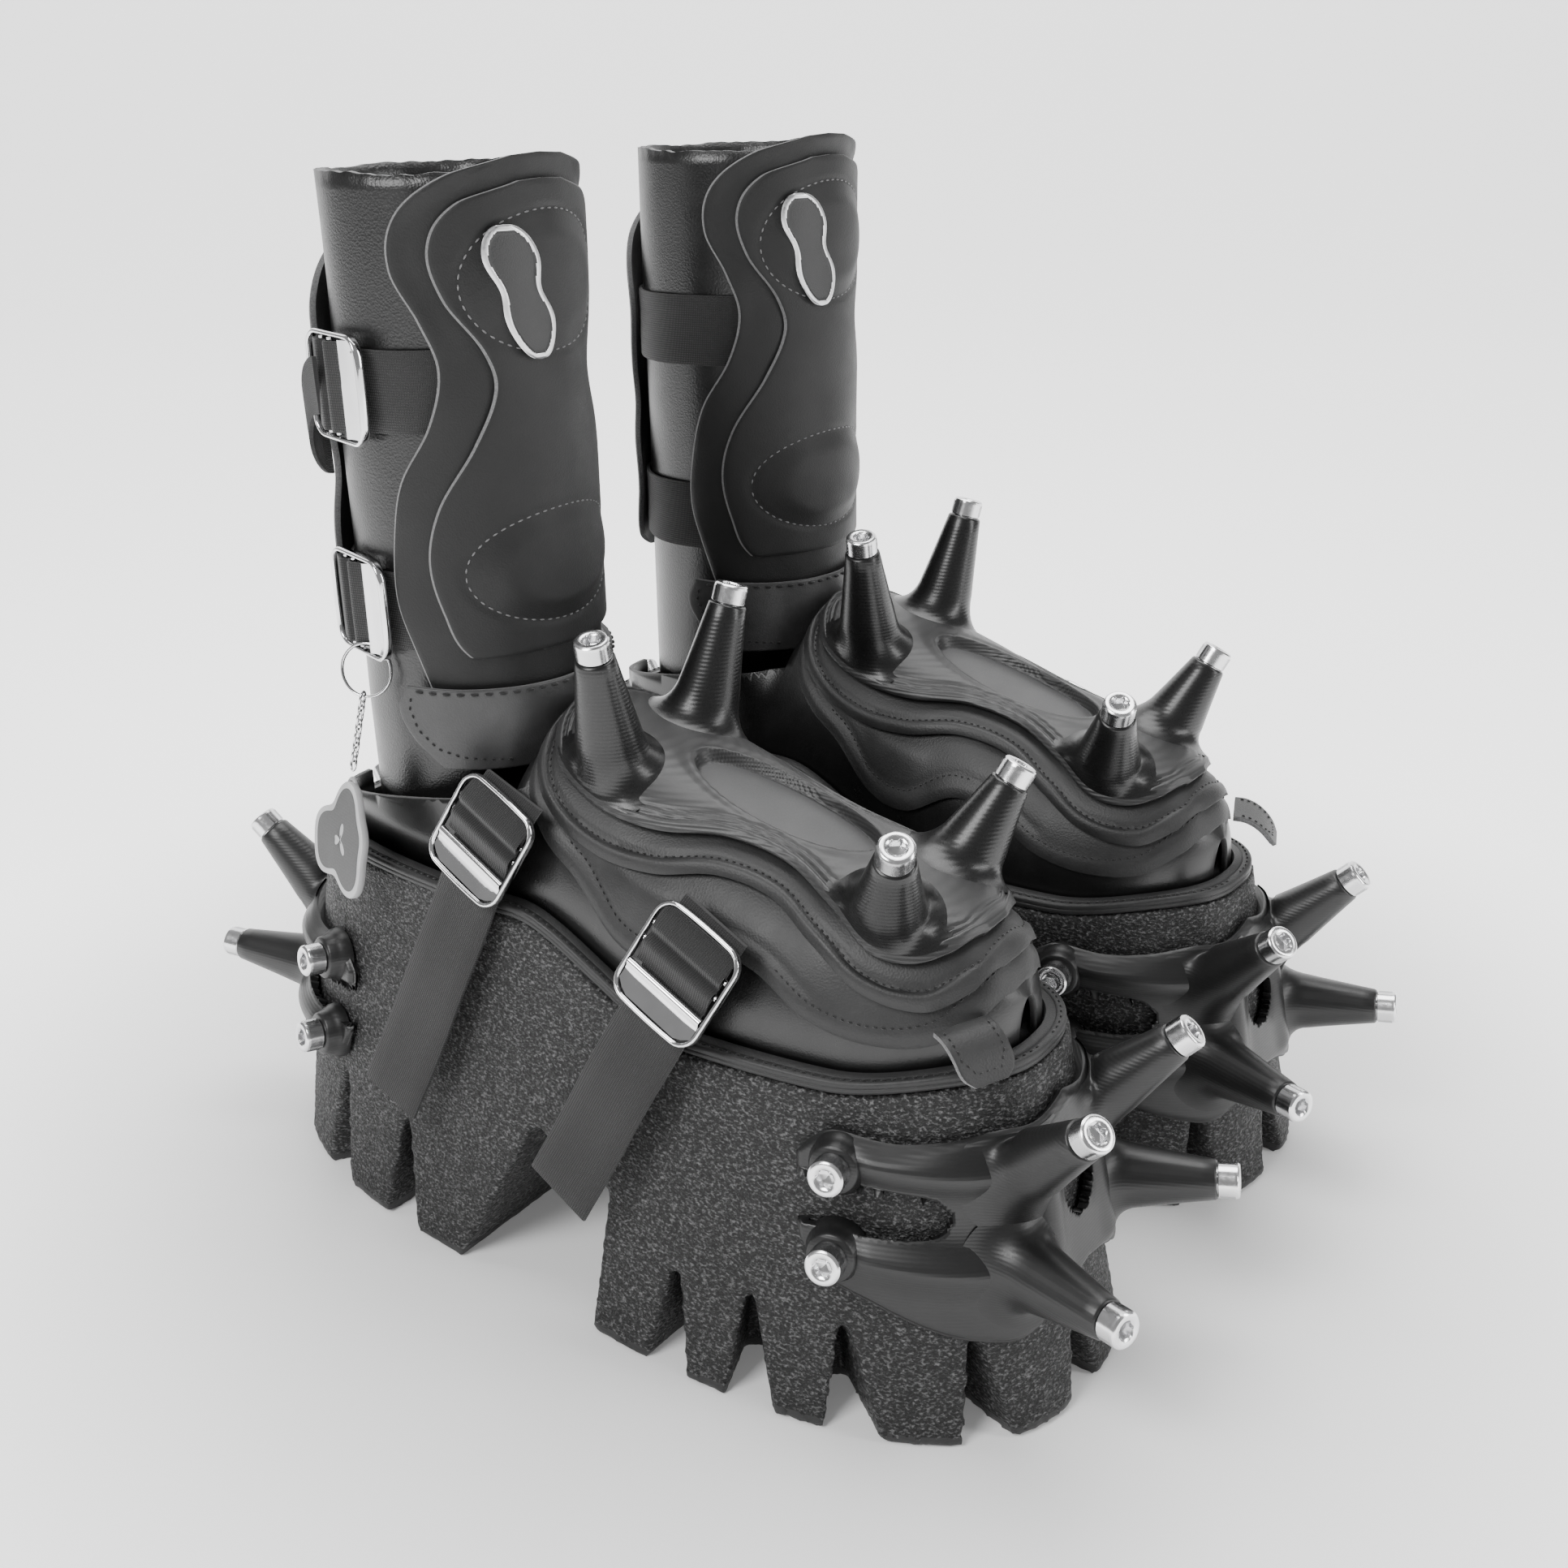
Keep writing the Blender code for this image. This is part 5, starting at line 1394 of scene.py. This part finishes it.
class BOOT_OT_straps(Operator):
    """Webbing straps round the leg and down over the platform"""
    bl_idname = "boots.straps"
    bl_label = "Webbing straps"

    def execute(self, context):
        for tag, z in zip(("upper", "lower"), LEG_STRAP_Z):
            bm = bmesh.new()
            path, outs = [], []
            for k in range(121):
                th = 180 + lerp(-142, 142, k / 120)
                path.append(leg(th, z + 0.4 * sin(k * 0.11), 45.8 + 0.25 * sin(k * 0.3)))
                outs.append(leg(th, z, 1.0) - leg(th, z, 0.0))
            ribbon(bm, path, UP, lambda i, o=outs: o[i], WEB, 1.7)
            if tag == "upper":
                fold, lean = [], []
                for k in range(31):
                    f = k / 30
                    th = lerp(-113, -150, f)
                    fold.append(leg(th, z - 30 * smooth(0, 1, f), 53.4 + 3.0 * sin(pi * f)))
                    lean.append(leg(th, z, 1.0) - leg(th, z, 0.0))
                tail = bmesh.new()
                drop = (UP * 0.86 + (leg(-100, z, 40) - leg(-160, z, 40)).normalized() * 0.5).normalized()
                ribbon(tail, fold, drop, lambda i, o=lean: o[i], WEB * 0.9, 1.6)
                both_boots("folded_webbing_tail", tail, ["webbing"], "leg", (), sharp=60)
            both_boots("webbing_band_" + tag, bm, ["webbing"], "leg", ["leg_strap_" + tag], sharp=60)
        for tag in ("rear", "front"):
            pts, out, across = foot_strap(tag)
            path = [spline(pts, k / 60) + out * (0.35 * sin(k * 0.35)) for k in range(61)]
            bm = bmesh.new()
            ribbon(bm, path, across, out, WEB, 1.7)
            node_name = "foot_strap_" + tag
            both_boots("hanging_webbing_" + tag, bm, ["webbing"], node_name, [node_name], sharp=60)
        return {'FINISHED'}


class BOOT_OT_buckles(Operator):
    """Chromed ladder-lock buckles with the webbing threaded over their bars"""
    bl_idname = "boots.buckles"
    bl_label = "Buckles"

    def execute(self, context):
        a = radians(BUCKLE_ANGLE)
        out = Vector((sin(a), -cos(a), 0))
        jobs = [("leg_buckle_" + tag, leg(BUCKLE_ANGLE, z, 49.0), Vector((cos(a), sin(a), 0)), out)
                for tag, z in zip(("upper", "lower"), LEG_STRAP_Z)]
        for tag in ("rear", "front"):
            pts, o, _ = foot_strap(tag)
            top = (pts[1] - pts[0]).normalized()
            n = (o - top * o.dot(top)).normalized()
            jobs.append(("foot_buckle_" + tag, pts[1] + n * 3.6, top, n))
        for name, c, u, n in jobs:
            bm, webbing = buckle(c, u, n)
            both_boots("chromed_" + name, bm, ["chrome"], name, [name], sharp=50)
            both_boots(name + "_webbing", webbing, ["webbing"], name, (), sharp=60)
        return {'FINISHED'}


class BOOT_OT_key_chain(Operator):
    """Split ring, link chain and charm on the right lower leg buckle"""
    bl_idname = "boots.key_chain"
    bl_label = "Key ring, chain and charm"

    def execute(self, context):
        z = LEG_STRAP_Z[1]
        rail = leg(BUCKLE_ANGLE, z - 19.0, 49.0)
        out = (leg(BUCKLE_ANGLE, z, 80) - leg(BUCKLE_ANGLE, z, 50)).normalized()
        tang = Vector((-out.y, out.x, 0))
        lean = radians(15)
        up = (UP * cos(lean) - out * sin(lean)).normalized()
        e = (out * cos(radians(55)) - tang * sin(radians(55))).normalized()
        cross = e.cross(up).normalized()
        e = up.cross(cross).normalized()
        c = rail + tang * 4.0 + UP * 3.7 - up * 10.5
        bm = bmesh.new()
        pts = [c + e * (10.5 * cos(t)) + up * (10.5 * sin(t)) + cross * (lerp(-0.5, 0.5, k / 100)) for k, t in
               [(k, -pi / 2 + 4 * pi * k / 100) for k in range(101)]]
        rod(bm, pts, 0.55, 8, normal=cross)
        right_only("split_key_ring", bm, ["chrome"], "key_ring", ["key_ring"])
        bm = bmesh.new()
        flat = up.cross(tang).normalized()
        low = c - up * (10.5 + 1.15)
        for k in range(8):
            mid = low - up * (3.75 * k)
            w = tang if k % 2 else cross
            other = up.cross(w).normalized()
            loop = [mid + w * (1.9 * cos(2 * pi * i / 20)) + up * (2.9 * sin(2 * pi * i / 20)) for i in range(20)]
            hoop(bm, loop, other, 0.5, 0.5, 8)
        right_only("oval_link_chain", bm, ["chrome"], "key_chain", ["key_chain"])
        hang = low - up * (2.4 * 1.3 + 0.9) - up * 29.9
        bm = bmesh.new()

        def ring(shrink, h):
            pts = []
            for i in range(120):
                a = 2 * pi * i / 120
                r = 20.5 + 3.2 * cos(3 * a - 0.6) + 1.6 * cos(5 * a) - shrink
                pts.append(hang - up * 24 + tang * (r * sin(a)) + up * (r * 0.98 * cos(a)) + flat * h)
            return pts
        skin(bm, [ring(0.3, -1.4), ring(0.0, -1.0), ring(0.0, 1.0), ring(0.3, 1.4), ring(2.6, 1.4), ring(2.9, 0.7),
                  ring(10, 0.7), ring(18.0, 0.7)], mat=0)
        skin(bm, [ring(2.9, -1.45), ring(10, -1.45), ring(18, -1.45)], caps=False, mat=0)
        for f in bm.faces:
            d = f.calc_center_median() - (hang - up * 24)
            if abs(d.dot(flat)) < 0.9 and f.normal.dot(flat) > 0.8 or d.dot(flat) < -1.42:
                f.material_index = 1
        eye = [hang - up * 1.2 + tang * (2.4 * cos(2 * pi * i / 24)) + up * (2.4 * sin(2 * pi * i / 24)) + flat * 1.0
               for i in range(24)]
        hoop(bm, eye, flat, 1.0, 1.1, 8)
        right_only("blank_charm", bm, ["charm_pale", "charm_dark"], "charm", ["charm"])
        return {'FINISHED'}


CAMERA_PLACE = (-0.51664, -0.40356, 0.44263)
CAMERA_TURN = (1.191242, 0.015684, -0.8994)
CAMERA_LENS = 38.17
CAMERA_SHIFT = (0.01067, -0.03233)
LAMPS = (("key_window", (-1.3, 0.1, 1.35), (0, 0, 0.2), (0.7, 0.9), 26.0),     # name, place, aim, size, watts
         ("top_softbox", (0.35, 0.2, 1.7), (0, 0, 0.1), (1.2, 1.0), 26.0),
         ("side_strip", (0.5, -1.5, 0.8), (0, 0, 0.2), (0.35, 1.2), 12.0))
# The floor glows with a little light of its own, and less of it near the boots: a painted contact shadow round them.
FLOOR_GLOW_PAINTED_SHADOW = (("From Min", 0.20), ("From Max", 0.52), ("To Min", 0.12), ("To Max", 1.5))


class BOOT_OT_stage(Operator):
    """Camera, glowing pale floor with curved backdrop and a painted contact shadow round the boots, and soft studio
    lights
    """
    bl_idname = "boots.stage"
    bl_label = "Stage"

    def execute(self, context):
        kit = context.scene.boot_kit
        cam = bpy.data.objects.new("studio_camera", bpy.data.cameras.new("studio_camera"))
        context.scene.collection.objects.link(cam)
        cam.location, cam.rotation_euler = CAMERA_PLACE, CAMERA_TURN
        cam.data.sensor_width, cam.data.lens = 36.0, CAMERA_LENS
        cam.data.shift_x, cam.data.shift_y = CAMERA_SHIFT
        cam.data.clip_start = 0.02
        context.scene.camera = cam
        bm = bmesh.new()

        def sweep(fx, fy):
            x, run = lerp(-4, 4, fx), lerp(-3.0, 6.5, fy)
            if run < 2.0:
                return Vector((x, run, 0))
            a = min(pi / 2, (run - 2.0) / 1.2)
            rise = max(0.0, run - 2.0 - 1.2 * pi / 2)
            return Vector((x, 2.0 + 1.2 * sin(a), 1.2 * (1 - cos(a)) + rise))
        grid(bm, 2, 60, sweep)
        bm.normal_update()
        me = bpy.data.meshes.new("studio_floor")
        bmesh.ops.rotate(bm, verts=bm.verts, cent=(0, 0, 0), matrix=Matrix.Rotation(radians(-51.2), 3, 'Z'))
        bm.to_mesh(me)
        bm.free()
        floor = bpy.data.objects.new("studio_floor", me)
        context.scene.collection.objects.link(floor)
        for p in me.polygons:
            p.use_smooth = True
        m, t, b = shader("pale_paper_painted_shadow")
        b.inputs["Base Color"].default_value = (*kit.paper, 1)
        b.inputs["Roughness"].default_value = 0.9
        b.inputs["Specular IOR Level"].default_value = 0.1
        b.inputs["Emission Color"].default_value = (1, 1, 1, 1)
        # Painted shadow: the floor's emission is dimmed within about half a metre of the middle of the floor, where
        # the boots stand.
        place = node(t, "ShaderNodeTexCoord").outputs["Object"]
        reach = node(t, "ShaderNodeVectorMath", operation='LENGTH')
        link(t, place, reach.inputs[0])
        painted_shadow_glow = node(t, "ShaderNodeMapRange", interpolation_type='SMOOTHSTEP')
        for key, value in FLOOR_GLOW_PAINTED_SHADOW:
            painted_shadow_glow.inputs[key].default_value = value
        link(t, reach.outputs["Value"], painted_shadow_glow.inputs["Value"])
        link(t, painted_shadow_glow.outputs["Result"], b.inputs["Emission Strength"])
        me.materials.append(m)
        floor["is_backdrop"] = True
        world = bpy.data.worlds.new("studio_light")
        context.scene.world = world
        world.use_nodes = True
        world.node_tree.nodes["Background"].inputs["Color"].default_value = (1, 1, 1, 1)
        world.node_tree.nodes["Background"].inputs["Strength"].default_value = 0.30
        for name, place, aim, size, watts in LAMPS:
            lamp = bpy.data.lights.new(name, 'AREA')
            lamp.shape, lamp.size, lamp.size_y, lamp.energy = 'RECTANGLE', size[0], size[1], watts
            ob = bpy.data.objects.new(name, lamp)
            context.scene.collection.objects.link(ob)
            ob.location = place
            ob.rotation_euler = (Vector(aim) - Vector(place)).to_track_quat('-Z', 'Y').to_euler()
        return {'FINISHED'}


class BOOT_PT_panel(Panel):
    """Sidebar list of the boots' pieces"""
    bl_label = "Spiked platform boots"
    bl_space_type = 'VIEW_3D'
    bl_region_type = 'UI'
    bl_category = "Boots"

    def draw(self, context):
        kit = context.scene.boot_kit
        for prop in BootSettings.__annotations__:
            self.layout.prop(kit, prop)
        for op in OPERATORS:
            self.layout.operator(op.bl_idname)


OPERATORS = (BOOT_OT_stage, BOOT_OT_platforms, BOOT_OT_shoes, BOOT_OT_aprons, BOOT_OT_instep_plates,
             BOOT_OT_end_plates, BOOT_OT_shafts, BOOT_OT_badges, BOOT_OT_straps, BOOT_OT_buckles, BOOT_OT_key_chain)
CLASSES = (BootSettings,) + OPERATORS + (BOOT_PT_panel,)


def register():
    for c in CLASSES:
        bpy.utils.register_class(c)
    bpy.types.Scene.boot_kit = PointerProperty(type=BootSettings)


def unregister():
    del bpy.types.Scene.boot_kit
    for c in reversed(CLASSES):
        bpy.utils.unregister_class(c)


def main():
    register()
    make_finishes(bpy.context.scene.boot_kit)
    for op in OPERATORS:
        getattr(bpy.ops.boots, op.bl_idname.split(".")[1])()
    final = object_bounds()
    plain = lambda box: [[float(c) for c in corner] for corner in box]
    {"cad": plain(CAD_BOX), "visual": plain(final)}


if __name__ == "__main__":
    main()
